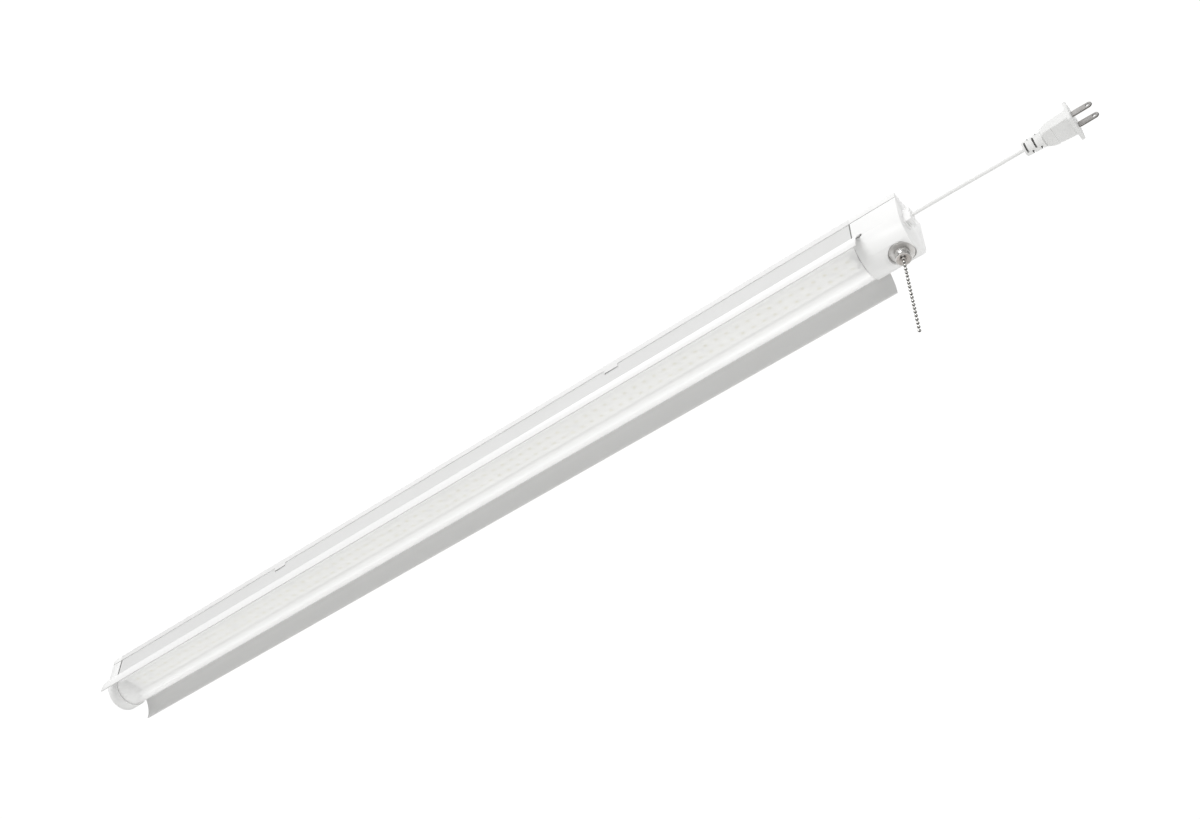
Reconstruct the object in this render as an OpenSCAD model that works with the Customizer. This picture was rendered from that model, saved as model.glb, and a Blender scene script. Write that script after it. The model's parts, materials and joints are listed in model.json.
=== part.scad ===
// Hanging shop light: a sheet-steel channel with a half-round frosted lens between two
// curved reflector wings, a pull-chain switch in the head cap and a short mains lead.
// +X runs from the tail cap to the head cap, +Z is up, and the origin lies on the top
// face, midway between the two hanging slots.

/* [Body] */
// Length over both end caps
overall_len = 1067; // [900:1:1300]
// Width over the top cover and the end caps
body_w = 45; // [42:0.5:50]
// Height from the top face to the lowest line of caps and wings
body_h = 55; // [52:0.5:62]
// Depth from the top face to the upper face of the channel's web
web_drop = 27.6; // [24:0.2:29]
// Thickness of the channel's sheet
sheet_t = 0.8; // [0.6:0.1:1.2]

/* [Top cover] */
// Thickness of the cover's sheet
cover_t = 0.7; // [0.5:0.1:1.0]
// Height of the cover's side flanges
cover_flange = 7; // [5:0.5:9]
// Distance from the channel's middle to each snap tongue
tongue_off = 232; // [120:1:300]
// Length of a snap tongue
tongue_len = 16; // [8:0.5:30]
// Distance between the two hanging slots
hang_span = 860; // [600:1:880]
// Length of a hanging slot, end to end
hang_slot_len = 16; // [8:0.5:24]
// Width of a hanging slot
hang_slot_w = 5; // [4.6:0.1:7]

/* [Reflector wings] */
// Width over the lips of both wings
lips_w = 69; // [64:0.5:80]
// Thickness of a wing's sheet
wing_t = 1.0; // [0.7:0.1:1.2]
// Length by which a wing runs past the head cap's rim
wing_over_head = 7.4; // [3:0.1:12]
// Length by which a wing runs past the tail cap's rim
wing_over_tail = 4.9; // [2:0.1:8]
// Width of a wing's flat root tab under the web
wing_tab_w = 8.5; // [7:0.1:10]
// Number of rivets along each wing
rivets_per_wing = 6; // [2:1:10]

/* [Lens] */
// Wall of the lens
lens_t = 1.2; // [0.8:0.1:1.5]
// Length of lens held inside each end cap
lens_seat = 6; // [3:0.5:9]

/* [Lamps] */
// Distance between neighbouring lamps, which is rounded to fill the board
led_pitch = 12; // [9:0.5:16]
// Distance between the two rows of lamps
led_row_gap = 9.4; // [6:0.2:14]
// Width of a lamp board
board_w = 22; // [18:0.5:24]
// Thickness of a lamp board
board_t = 1.6; // [1.0:0.1:2.0]

/* [End caps] */
// Length of the head cap
head_len = 46.5; // [44:0.5:60]
// Length of the tail cap
tail_len = 14; // [12:0.5:20]
// Wall of a cap
cap_wall = 1.4; // [1.2:0.1:1.8]
// End wall of a cap
cap_end = 2; // [1.5:0.1:3]
// Length of a cap's tongues inside the channel
spigot_len = 12; // [8:0.5:16]

/* [Switch] */
// Distance from the head end to the pull chain
chain_inset = 13.5; // [13:0.1:16]
// Radius of the switch's round outer flange
flange_r = 12.1; // [9:0.1:12.4]
// Outer radius of the threaded bushing
bushing_r = 4.75; // [4:0.05:5.2]
// Bore radius of the threaded bushing
bushing_bore_r = 2.3; // [2.1:0.05:2.6]
// Radius of the knurled ring nut
nut_r = 6.9; // [6:0.1:8]
// Radius of the bell mouth at its rim
bell_r = 7.0; // [6:0.1:8]
// Height of the switch case
case_h = 24; // [22:0.5:26]
// Travel of the pull chain
pull_travel = 8; // [4:0.5:8]

/* [Pull chain] */
// Radius of a bead
bead_r = 1.6; // [1.2:0.05:1.8]
// Distance between neighbouring beads
bead_pitch = 4.67; // [4.2:0.01:5.4]
// Beads of the upper stretch
beads_upper = 11; // [4:1:14]
// Beads of the lower stretch
beads_lower = 10; // [4:1:14]

/* [Mains lead] */
// Diameter of the lead
cord_d = 3.2; // [2.8:0.1:3.6]
// Length of the cord clamp's block in front of the head cap
clamp_out = 7; // [4:0.5:10]
// Width of the cord clamp's block
clamp_w = 10.5; // [8:0.5:12]
// Height of the cord clamp's block
clamp_h = 16; // [14:0.5:18]

/* [Plug] */
// Length of the ribbed strain relief behind the plug
relief_len = 17.5; // [12:0.5:24]
// Radius of the strain relief at the lead's end
relief_r = 6.4; // [4.5:0.1:7]
// Radius of the strain relief at the plug's body
relief_wide_r = 7.3; // [5:0.1:8]
// Length of the plug's body
plug_len = 26; // [20:0.5:34]
// Width of the plug's front plate
plate_w = 27; // [24:0.5:32]
// Height of the plug's front plate
plate_h = 24; // [18:0.5:26]
// Thickness of the plug's front plate
plate_t = 3; // [2:0.1:4]
// Length of a blade in front of the plate
blade_len = 18; // [15.9:0.1:18.3]
// Distance between the two blades
blade_gap = 12.7; // [12.7:0.1:12.8]
// Width of a blade
blade_w = 6.35; // [6.2:0.05:6.5]
// Thickness of a blade
blade_t = 1.5; // [1.4:0.05:1.65]

/* [Hidden] */
$fn = 48;

// Clearances
fit_gap = 0.1;      // sheet against sheet, and screws in their holes
slide_gap = 0.15;   // lens flange in its groove
lens_gap = 0.2;     // lens inside a cap
run_gap = 0.3;      // between pieces that move past each other
axle_gap = 0.05;    // running fit of the drum and the rotor on their axle

// Lengthwise stations
head_x = overall_len / 2;
tail_x = -overall_len / 2;
head_rim = head_x - head_len;
tail_rim = tail_x + tail_len;
channel_len = head_rim - tail_rim;
channel_mid = (head_rim + tail_rim) / 2;

// Section
half_w = body_w / 2;
arc_z = -(body_h - half_w);             // centre of the caps' and the lens's round
chan_half = half_w - cover_t - fit_gap; // outer face of the channel's side wall
web_z = -(web_drop + sheet_t);          // underside of the web
tab_z = web_z - wing_t;                 // underside of a wing's root tab
groove_h = lens_t + 2 * slide_gap;      // height of the groove that holds the lens
lens_r = half_w - cap_wall - lens_gap;
flange_z = tab_z - slide_gap;           // upper face of the lens's flanges

// Wing: one arc, upright at the lip, that starts under the edge of the channel
lip_y = lips_w / 2;
wing_rise = tab_z + body_h;
wing_run = lip_y - half_w;
wing_R = (wing_run * wing_run + wing_rise * wing_rise) / (2 * wing_run);
wing_cy = lip_y - wing_R;
tab_in = half_w - 1 - wing_tab_w;       // inner edge of the root tab
hem_h = 1.8;                            // folded hem along the lip
hem_t = 0.6;

// Tongues of the cover
tongue_drop = 3;
hook_h = 0.8;
hook_in = 2;
slot_below = 1;         // free height of a channel slot below the tongue's hook
slot_above = 0.4;
bend_r = 0.8;           // outer radius of the cover's long bends and the caps' top edges

// Lamp boards
boards_gap = 0.6;       // between the two boards
board_end_gap = 10.95;  // from a board's outer end to the cap's rim
board_len = (channel_len - boards_gap) / 2 - board_end_gap;
board_z = web_z - board_t;
leds_per_row = round(board_len / led_pitch);
led_step = board_len / leds_per_row;
led_w = 2.8;
led_l = 3.5;
led_t = 0.7;
screws_per_board = 4;

// Caps
notch_h = 3.5;
notch_top = web_z + 0.5;
notch_past = 2.2;
groove_w = 0.6;
groove_d = 0.4;
spigot_t = 1.6;
spigot_drop = web_drop - 1.6;
screw_y = 13;
screw_r = 1.4;
screw_head_r = 2.7;
screw_len = 9;
screw_boss_r = 3.4;

// Switch
chain_x = head_x - chain_inset;
pad_z = -body_h + (half_w - sqrt(half_w * half_w - flange_r * flange_r));
pad_t = 2;
flange_t = 1.0;
nut_h = 3;
bell_h = 6.4;
case_z = pad_z + pad_t;
case_top = case_z + case_h;
case_wall = 1.5;
case_back = chain_x + 9.6;
case_front = chain_x - 14.5;
case_half_y = 12;
nut_top = pad_z - flange_t;
bell_top = nut_top - nut_h;
bell_rim = bell_top - bell_h;
bushing_low = bell_top - 2.4;
drum_reach = 5.2;
axle_r = 1.5;
axle_x = chain_x - drum_reach;
axle_z = case_z + pull_travel + 4;
drum_r = 4.3;
drum_half = 3.5;
lead_rod_r = 0.6;
rotor_y = drum_half + 1;
rotor_l = 4;
rotor_r = 6.2;

// Chain
link_r = 0.45;
link_free = bead_pitch - bead_r - run_gap;  // link above a stretch's first bead
first_bead = bell_rim + 1.5;                // middle of the upper stretch's first bead
low_bead = first_bead - beads_upper * bead_pitch;

// Driver
driver_x = 250;
driver_len = 128;
term_off = driver_len / 2 - 7;      // middle of the board to a terminal block
term_l = 8;
driver_w = 26;
tray_t = 0.6;
standoff = 3;
pcb_t = 1.6;
pcb_z = -web_drop + tray_t + standoff;

// Cord clamp and the lead's route, from the clamp's face to the plug's strain relief
clamp_y = -9;
clamp_z = -24.5;        // height of the lead
clamp_mid = -26.5;      // height of the clamp's middle
clamp_lip = 1.5;
clamp_neck = 1.0;
cord_x = head_x + clamp_out;
CORD_PTS = [[0, 0, 0], [6, 0, 0], [14, 0, 0], [22, 0, -0.1], [30, 0, -0.2], [38, 0, -0.3],
    [46, 0, -0.5], [54, 0, -0.7], [62, 0, -0.9], [70, 0, -1.1], [78, 0, -1.3], [86, 0, -1.4],
    [94, 0, -1.5], [102, 0, -1.5], [108, 0, -1.5]];
plug_x = cord_x + CORD_PTS[len(CORD_PTS) - 1][0];
plug_z = clamp_z + CORD_PTS[len(CORD_PTS) - 1][2];
plate_x = plug_x + relief_len + plug_len;
blade_x = plate_x + plate_t;

// ---- Helpers ----

// A profile in (Y, Z), carried along X from x0 for len
module along_x(x0, len) {
    translate([x0, 0, 0]) rotate([90, 0, 90]) linear_extrude(len) children();
}

// A profile in (X, Z), carried along +Y from y0 for len
module along_y(y0, len) {
    translate([0, y0 + len, 0]) rotate([90, 0, 0]) linear_extrude(len) children();
}

// Flat-topped block in (Y, Z) down to low, its two upper corners rounded by r
module flat_top(half, low, top, r) {
    translate([-half, low]) square([2 * half, -low - top - r]);
    translate([r - half, low]) square([2 * (half - r), -low - top]);
    for (s = [-1, 1]) translate([s * (half - r), -top - r]) circle(r = r);
}

// Flat top at -top, straight sides, half-round bottom of radius half about arc_z
module u_shape(half, top, r) {
    flat_top(half, arc_z, top, r);
    translate([0, arc_z]) circle(r = half, $fn = 96);
}

// Both mirror images of a profile about Y = 0
module both_sides() {
    children();
    mirror([1, 0]) children();
}

function unit(v) = v / norm(v);

// Tangent of a route at point i
function tangent(pts, i) =
    unit(pts[min(i + 1, len(pts) - 1)] - pts[max(i - 1, 0)]);

// Side vector of a ring: square to the tangent, and as level as it can be
function side(t) = norm(cross(t, [0, 0, 1])) > 0.05
    ? unit(cross(t, [0, 0, 1])) : [0, 1, 0];

// Ring of n points about point i of a route, square to it
function ring(pts, i, r, n) = let (
        t = tangent(pts, i),
        u = side(t),
        v = cross(u, t))
    [for (k = [0 : n - 1])
        pts[i] + r * (cos(360 * k / n) * u + sin(360 * k / n) * v)];

// A tube of n sides swept along a route
module tube(pts, r, n) {
    count = len(pts);
    points = [for (i = [0 : count - 1]) each ring(pts, i, r, n)];
    walls = [for (i = [0 : count - 2]) for (k = [0 : n - 1]) let (
            a = i * n + k,
            b = i * n + (k + 1) % n)
        each [[a, b, b + n], [a, b + n, a + n]]];
    start = [for (k = [1 : n - 2]) [0, k + 1, k]];
    last = (count - 1) * n;
    end = [for (k = [1 : n - 2]) [last, last + k, last + k + 1]];
    polyhedron(points = points, faces = concat(walls, start, end));
}

// ---- Housing ----

module channel_profile() {
    inner = chan_half - sheet_t;
    difference() {
        translate([-chan_half, web_z]) square([2 * chan_half, -web_z - cover_t]);
        translate([-inner, web_z + sheet_t]) square([2 * inner, -web_z]);
    }
}

module channel() {
    color("white") difference() {
        along_x(tail_rim, channel_len) channel_profile();
        // slots that take the cover's snap tongues
        for (s = [-1, 1], side = [-1, 1])
            translate([channel_mid + s * tongue_off - tongue_len / 2 - fit_gap,
                    side * chan_half - 1.5,
                    -cover_flange - tongue_drop - hook_h - slot_below])
                cube([tongue_len + 2 * fit_gap, 3, hook_h + slot_below + slot_above]);
        // rivet holes
        for (x = rivet_xs(), side = [-1, 1])
            translate([x, side * rivet_y, web_z - 1]) cylinder(h = 3, r = rivet_hole_r);
        // grommet hole for the lamp wires
        translate([grommet_x, 0, web_z - 1]) cylinder(h = 3, r = grommet_r);
        // holes for the lamp boards' screws
        for (x = board_screw_xs())
            translate([x, 0, web_z - 1]) cylinder(h = 3, r = board_screw_r + axle_gap);
    }
}

module cover_profile() {
    inner = half_w - cover_t;
    difference() {
        flat_top(half_w, -cover_flange, 0, bend_r);
        translate([-inner, -cover_flange - 1]) square([2 * inner, cover_flange + 1 - cover_t]);
    }
}

// One snap tongue: a strip that reaches down from the flange, with a hook turned inwards
module snap_tongue() {
    drop = cover_flange + tongue_drop + hook_h;
    translate([half_w - cover_t, -drop]) square([cover_t, drop - cover_flange + 1]);
    translate([half_w - cover_t - hook_in, -drop]) square([hook_in + 0.01, hook_h]);
}

module slot_cut(len, w, depth) {
    for (s = [-1, 1]) translate([s * (len - w) / 2, 0, -depth]) cylinder(h = depth + 1, d = w);
    translate([-(len - w) / 2, -w / 2, -depth]) cube([len - w, w, depth + 1]);
}

module top_cover() {
    color("white") difference() {
        union() {
            along_x(tail_rim, channel_len) cover_profile();
            for (s = [-1, 1])
                along_x(channel_mid + s * tongue_off - tongue_len / 2, tongue_len)
                    both_sides() snap_tongue();
        }
        for (s = [-1, 1]) translate([s * hang_span / 2, 0, 0])
            slot_cut(hang_slot_len, hang_slot_w, 3);
        for (p = cap_screw_places()) translate([p[0], p[1], 0]) countersink();
    }
}

// ---- Wings ----

module wing_arc() {
    intersection() {
        difference() {
            translate([wing_cy, -body_h]) circle(r = wing_R, $fn = 180);
            translate([wing_cy, -body_h]) circle(r = wing_R - wing_t, $fn = 180);
        }
        translate([half_w - 6, -body_h]) square([lip_y, body_h + web_z]);
    }
    // folded hem along the lip
    translate([lip_y - wing_t - hem_t, -body_h]) square([hem_t + wing_t / 2, hem_h]);
}

// Root tab and the turned groove that holds the lens's flange
module wing_tab() {
    groove_in = tab_in;
    lip_z = tab_z - groove_h - wing_t;
    translate([groove_in, tab_z]) square([half_w - 1.4 - groove_in, wing_t]);
    translate([groove_in, lip_z]) square([wing_t, web_z - lip_z]);
    translate([groove_in, lip_z]) square([3.2, wing_t]);
}

module wing(side) {
    mirror([0, side < 0 ? 1 : 0, 0]) difference() {
        union() {
            along_x(tail_rim - wing_over_tail, channel_len + wing_over_tail + wing_over_head)
                wing_arc();
            along_x(tail_rim, channel_len) wing_tab();
        }
        for (x = rivet_xs()) translate([x, rivet_y, tab_z - 0.5]) cylinder(h = 3, r = rivet_hole_r);
    }
}

module wing_near() { color("white") wing(-1); }

module wing_far() { color("white") wing(1); }

rivet_y = tab_in + 4;
rivet_r = 1.5;
rivet_hole_r = rivet_r + axle_gap;
function rivet_xs() = [for (i = [0 : rivets_per_wing - 1])
    tail_rim + 30 + i * (channel_len - 60) / (rivets_per_wing - 1)];

module wing_rivets() {
    color("silver") for (x = rivet_xs(), side = [-1, 1]) translate([x, side * rivet_y, 0]) {
        translate([0, 0, tab_z]) cylinder(h = wing_t + sheet_t + 0.5, r = rivet_r);
        translate([0, 0, -web_drop]) cylinder(h = 1, r1 = 2.8, r2 = 1.8);
    }
}

// ---- Lens ----

module lens_profile() {
    difference() {
        translate([0, arc_z]) circle(r = lens_r, $fn = 96);
        translate([0, arc_z]) circle(r = lens_r - lens_t, $fn = 96);
        translate([-body_w, arc_z]) square([2 * body_w, body_w]);
    }
    both_sides() {
        translate([lens_r - lens_t, arc_z]) square([lens_t, flange_z - arc_z]);
        translate([tab_in + wing_t + lens_gap, flange_z - lens_t])
            square([lens_r - tab_in - wing_t - lens_gap, lens_t]);
    }
}

module lens() {
    color("ghostwhite", 0.7)
        along_x(tail_rim - lens_seat, channel_len + 2 * lens_seat) lens_profile();
}

// ---- Lamp boards ----

function board_start(i) = channel_mid - board_len - boards_gap / 2
    + i * (board_len + boards_gap);
board_screw_r = 1.3;
function board_screw_xs() = [for (i = [0, 1], k = [0 : screws_per_board - 1])
    board_start(i) + led_step * (2 + round(k * (leds_per_row - 4) / (screws_per_board - 1)))];

module led_board(i) {
    color("whitesmoke") difference() {
        translate([board_start(i), -board_w / 2, board_z]) cube([board_len, board_w, board_t]);
        for (x = board_screw_xs()) translate([x, 0, board_z - 1])
            cylinder(h = board_t + 2, r = board_screw_r + axle_gap);
    }
}

module led_board_tail() { led_board(0); }

module led_board_head() { led_board(1); }

module leds(i) {
    color("khaki") for (k = [0 : leds_per_row - 1], row = [-1, 1])
        translate([board_start(i) + (k + 0.5) * led_step - led_l / 2,
                row * led_row_gap / 2 - led_w / 2, board_z - led_t])
            cube([led_l, led_w, led_t]);
}

module leds_tail() { leds(0); }

module leds_head() { leds(1); }

module board_screws() {
    color("silver") for (x = board_screw_xs()) translate([x, 0, 0]) {
        translate([0, 0, board_z]) cylinder(h = board_t + sheet_t, r = board_screw_r);
        translate([0, 0, board_z - 1.2]) cylinder(h = 1.2, r1 = 1.7, r2 = 2.5);
    }
}

// Small bridge connector soldered across the joint of the two boards
module board_jumper() {
    color("white") translate([channel_mid - 6, -2.2, board_z - 2])
        cube([12, 4.4, 2]);
}

// ---- End caps ----

function cap_screw_places() = [for (x = [head_rim - spigot_len / 2, tail_rim + spigot_len / 2],
    y = [-screw_y, screw_y]) [x, y]];

module countersink() {
    translate([0, 0, -cover_t - 1]) cylinder(h = cover_t + 2, r = screw_r + fit_gap);
    translate([0, 0, -cover_t]) cylinder(h = cover_t, r1 = screw_head_r - cover_t + fit_gap,
        r2 = screw_head_r + fit_gap);
}

// Cap drawn with its rim at x = 0 and its end at x = len
module cap_shell(len, over) {
    difference() {
        along_x(0, len) u_shape(half_w, 0, bend_r);
        along_x(-1, len - cap_end + 1) u_shape(half_w - cap_wall, cap_wall, bend_r);
        // parting groove level with the lower edge of the cover's flange
        for (s = [-1, 1]) translate([-1, s * half_w - groove_d, -cover_flange - groove_w])
            cube([len + 2, 2 * groove_d, groove_w]);
        // notches that the wings' ends tuck into
        for (s = [-1, 1]) translate([0, s * half_w, notch_top - notch_h / 2]) {
            translate([-1, -3, -notch_h / 2])
                cube([over + notch_past - notch_h / 2 + 1, 6, notch_h]);
            translate([over + notch_past - notch_h / 2, 3, 0]) rotate([90, 0, 0])
                cylinder(h = 6, d = notch_h);
        }
    }
    // tongues inside the channel's walls, tied to the shell by a web on its inner face
    for (s = [-1, 1]) difference() {
        union() {
            y_in = chan_half - sheet_t - fit_gap - spigot_t;
            translate([-spigot_len, s > 0 ? y_in : -y_in - spigot_t, -spigot_drop])
                cube([spigot_len + 4, spigot_t, spigot_drop - cover_t]);
            translate([-spigot_len, s > 0 ? screw_y - screw_boss_r : -y_in, -screw_len - 1])
                cube([spigot_len + 4, y_in - screw_y + screw_boss_r,
                    screw_len + 1 - cover_t]);
            translate([0, s > 0 ? y_in : -half_w + cap_wall / 2, -spigot_drop])
                cube([4, half_w - cap_wall / 2 - y_in, spigot_drop - cap_wall / 2]);
        }
        translate([-spigot_len / 2, s * screw_y, -screw_len - 2])
            cylinder(h = screw_len + 3, r = screw_r + axle_gap);
    }
}

module head_cap() {
    color("white") translate([head_rim, 0, 0]) difference() {
        union() {
            cap_shell(head_len, wing_over_head);
            // thick pad that the switch is clamped to
            intersection() {
                along_x(0, head_len - cap_end)
                    u_shape(half_w - cap_wall / 2, cap_wall, bend_r);
                translate([head_len - chain_inset, 0, -body_h])
                    cylinder(h = pad_z + body_h + pad_t, r = flange_r + cap_wall);
            }
        }
        // flat seat for the switch's flange, and the bushing's hole
        translate([head_len - chain_inset, 0, -body_h - 1])
            cylinder(h = pad_z + body_h + 1, r = flange_r + run_gap);
        translate([head_len - chain_inset, 0, -body_h])
            cylinder(h = body_h / 2, r = bushing_r + fit_gap);
        // opening for the cord clamp's neck
        translate([head_len - cap_end - 1, clamp_y - clamp_w / 2 + clamp_neck - fit_gap,
                clamp_mid - clamp_h / 2 + clamp_neck - fit_gap])
            cube([cap_end + 2, clamp_w - 2 * (clamp_neck - fit_gap),
                clamp_h - 2 * (clamp_neck - fit_gap)]);
    }
}

module tail_cap() {
    color("white") translate([tail_rim, 0, 0]) mirror([1, 0, 0])
        cap_shell(tail_len, wing_over_tail);
}

module cap_screws() {
    color("silver") for (p = cap_screw_places()) translate([p[0], p[1], 0]) difference() {
        union() {
            translate([0, 0, -screw_len]) cylinder(h = screw_len, r = screw_r);
            translate([0, 0, -cover_t]) cylinder(h = cover_t,
                r1 = screw_head_r - cover_t, r2 = screw_head_r);
        }
        // cross recess
        for (a = [0, 90]) rotate(a) translate([-1.4, -0.25, -0.5]) cube([2.8, 0.5, 1]);
    }
}

// ---- Driver ----

module driver_tray() {
    color("black") translate([driver_x - driver_len / 2, 0, -web_drop]) {
        translate([0, -driver_w / 2 - 1, 0]) cube([driver_len, driver_w + 2, tray_t]);
        for (s = [-1, 1]) translate([0, s * (driver_w / 2 + 1) - (s > 0 ? tray_t : 0), 0])
            cube([driver_len, tray_t, 14]);
        for (x = [8, driver_len - 8], y = [-11, 11]) translate([x, y, 0])
            cylinder(h = standoff + tray_t, r = 2);
    }
}

module driver_board() {
    color("darkgreen") translate([driver_x - driver_len / 2 + 2, -driver_w / 2 + 1, pcb_z])
        cube([driver_len - 4, driver_w - 2, pcb_t]);
}

module driver_transformer() {
    color("gold") translate([driver_x + 0.05 * driver_len, 0, pcb_z + pcb_t]) {
        translate([-11, -10, 0]) cube([22, 20, 3]);
        translate([0, 0, 3]) cylinder(h = 10, r = 8.5);
        translate([-11, -10, 13]) cube([22, 20, 2]);
    }
}

module driver_capacitors() {
    // place along the driver as a share of its length, then Y, radius and height
    color("dimgray") for (c = [[-0.3, -6, 5, 14], [-0.19, 5, 4, 12], [0.31, 0, 5, 14]])
        translate([driver_x + c[0] * driver_len, c[1], pcb_z + pcb_t])
            cylinder(h = c[3], r = c[2]);
}

module driver_chips() {
    // distance from the driver's middle, Y, length, width and height
    fuse_l = 6;
    color("black") for (c = [[-term_off + (term_l + fuse_l) / 2 + 1, 6, fuse_l, 8, 7],
            [-0.28 * driver_len, 7, 7, 5, 2], [0.2 * driver_len, -7, 10, 4, 9],
            [0.2 * driver_len, 6, 5, 4, 1.8]])
        translate([driver_x + c[0] - c[2] / 2, c[1] - c[3] / 2, pcb_z + pcb_t])
            cube([c[2], c[3], c[4]]);
}

// Screw terminal blocks at both ends of the driver's board
module driver_terminals() {
    color("green") for (s = [-1, 1]) translate([driver_x + s * term_off, 0,
            pcb_z + pcb_t]) difference() {
        translate([-term_l / 2, -8, 0]) cube([term_l, 16, 9]);
        for (y = [-4, 4]) {
            translate([0, y, 5]) cylinder(h = 5, r = 1.6);
            translate([s > 0 ? 0 : -5, y, 3]) rotate([0, 90, 0]) cylinder(h = 5, r = 1.3);
        }
    }
}

// ---- Wiring ----

wire_r = 0.9;
term_x = driver_x + term_off + term_l / 2 + 0.2;
term_z = pcb_z + pcb_t + 3;
clamp_in_x = head_x - cap_end - clamp_lip;
wire_z = clamp_z + 4;
loom_x0 = term_x + 60;          // the wires come up from the driver's terminals
loom_x1 = head_rim - 60;        // and dive under the cap's tongues
loom_z = -0.65 * web_drop;
loom_y = 4;
term_reach = 16;
feed_x = case_back - 12;        // the feed's way down to the switch case

// One wire runs straight to the driver, the other goes by way of the switch
module mains_wires() {
    color("black") {
        tube([[clamp_in_x, clamp_y - 1, wire_z], [clamp_in_x - 8, clamp_y - 1, wire_z],
            [clamp_in_x - 22, clamp_y + 1, loom_z - 1], [head_rim - 12, -6, loom_z],
            [loom_x1, -loom_y, loom_z + 1], [loom_x0, -loom_y, loom_z],
            [term_x + term_reach, -loom_y, term_z], [term_x, -loom_y, term_z]], wire_r, 6);
        tube([[case_front + 4, 6, case_top + 0.1], [case_front + 4, 6, case_top + 2.5],
            [case_front - 2, 6, case_top + 5], [head_rim - 10, 5, loom_z + 1],
            [loom_x1, loom_y, loom_z + 3], [loom_x0, loom_y, loom_z + 2],
            [term_x + term_reach, loom_y, term_z], [term_x, loom_y, term_z]], wire_r, 6);
        tube([[clamp_in_x, clamp_y + 2.6, wire_z], [clamp_in_x - 5, clamp_y + 2.6, wire_z],
            [feed_x + 3, -2, loom_z + 1], [feed_x, 4, loom_z],
            [feed_x, 6, case_top + 3], [feed_x, 6, case_top + 0.1]], wire_r, 6);
    }
}

grommet_x = head_rim - 5.4;
grommet_r = 3.2;
grommet_bore = 2;

module web_grommet() {
    color("black") translate([grommet_x, 0, 0]) difference() {
        union() {
            translate([0, 0, web_z - 0.6]) cylinder(h = sheet_t + 1.6, r = grommet_r - 0.05);
            translate([0, 0, -web_drop]) cylinder(h = 1, r = grommet_r + 0.9);
            translate([0, 0, web_z - 1]) cylinder(h = 1, r = grommet_r + 0.9);
        }
        translate([0, 0, web_z - 2]) cylinder(h = 6, r = grommet_bore);
    }
}

// Lamp wires: from the driver's tail terminals, past its side and through the grommet
module led_wires() {
    back_x = driver_x - term_off - term_l / 2 - 0.2;
    end_x = board_start(1) + board_len;
    color("red") for (s = [-1, 1])
        tube([[back_x, s * 4, term_z], [back_x - 8, s * 4, term_z],
            [back_x - 14, s * 9, -14], [back_x - 8, s * 16, -9], [back_x + 10, s * 18.5, -8],
            [driver_x + driver_len / 2, s * 18.5, -8], [grommet_x - 60, s * 12, -20],
            [grommet_x - 16, s * 1.5, -22], [grommet_x - 4, s * 1.3, -22.5],
            [grommet_x, s * 1.3, -25], [grommet_x, s * 1.3, web_z - 1.5],
            [grommet_x - 2, s * 2, board_z - 1.2], [end_x - 2, s * 7.5, board_z - 1.0]],
            0.7, 6);
}

// ---- Switch ----

module switch_case() {
    color("saddlebrown") difference() {
        translate([case_front, -case_half_y, case_z])
            cube([case_back - case_front, 2 * case_half_y, case_h]);
        translate([case_front + case_wall, -case_half_y - 1, case_z + case_wall])
            cube([case_back - case_front - 2 * case_wall, 2 * case_half_y + 1 - case_wall,
                case_h - 2 * case_wall]);
        translate([chain_x, 0, case_z - 1]) cylinder(h = 4, r = bushing_bore_r);
        translate([axle_x, case_half_y - 5, axle_z]) rotate([-90, 0, 0])
            cylinder(h = 6, r = axle_r);
        for (x = [case_front + 4, case_back - 12]) translate([x, 6, case_top - 3])
            cylinder(h = 4, r = wire_r + fit_gap);
    }
}

module switch_lid() {
    color("peru") difference() {
        translate([case_front + case_wall + fit_gap, -case_half_y, case_z + case_wall + fit_gap])
            cube([case_back - case_front - 2 * (case_wall + fit_gap), case_wall,
                case_h - 2 * (case_wall + fit_gap)]);
        translate([axle_x, -case_half_y - 1, axle_z]) rotate([-90, 0, 0])
            cylinder(h = 6, r = axle_r);
    }
}

module switch_axle() {
    color("silver") translate([axle_x, -case_half_y, axle_z]) rotate([-90, 0, 0])
        cylinder(h = 2 * case_half_y, r = axle_r);
}

// Drum that the pull chain's lead unwinds from, with a pawl finger beside the rotor
module switch_drum() {
    color("ivory") difference() {
        union() {
            along_y(-drum_half, 2 * drum_half) translate([axle_x, axle_z])
                circle(r = drum_r);
            along_y(drum_half - 1.5, 1.5) translate([axle_x, axle_z]) {
                circle(r = drum_r);
                translate([-6.4, -1.6]) square([6.4, 3.2]);
            }
        }
        along_y(-drum_half - 1, 2 * drum_half + 2) translate([axle_x, axle_z])
            circle(r = axle_r + axle_gap);
    }
}

// Ratchet rotor that carries the contact bridge
module switch_rotor() {
    color("ivory") difference() {
        along_y(rotor_y, rotor_l) translate([axle_x, axle_z]) difference() {
            circle(r = rotor_r);
            for (a = [0 : 45 : 315]) rotate(a) translate([rotor_r, 1])
                rotate(20) square([2.2, 1.6], center = true);
        }
        along_y(rotor_y - 1, rotor_l + 2) translate([axle_x, axle_z])
            circle(r = axle_r + axle_gap);
    }
}

spring_r = 2.6;
spring_wire = 0.3;
spring_turns = 5;
spring_steps = 14;

// Return spring: an open coil round the axle between the drum and the lid
module switch_spring() {
    n = spring_turns * spring_steps;
    y0 = -case_half_y + case_wall + 0.6;
    y1 = -drum_half - 0.7;
    color("silver") tube([for (i = [0 : n])
        [axle_x + spring_r * cos(360 * i / spring_steps), y0 + (y1 - y0) * i / n,
            axle_z + spring_r * sin(360 * i / spring_steps)]], spring_wire, 6);
}

module switch_contacts() {
    color("goldenrod") for (z = [case_z + case_wall, case_top - case_wall - 5])
        translate([case_back - case_wall - 3, rotor_y, z]) {
            cube([3, 3, 5]);
            translate([-1.2, 0, 2]) cube([1.2, 3, 0.8]);
        }
}

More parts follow.
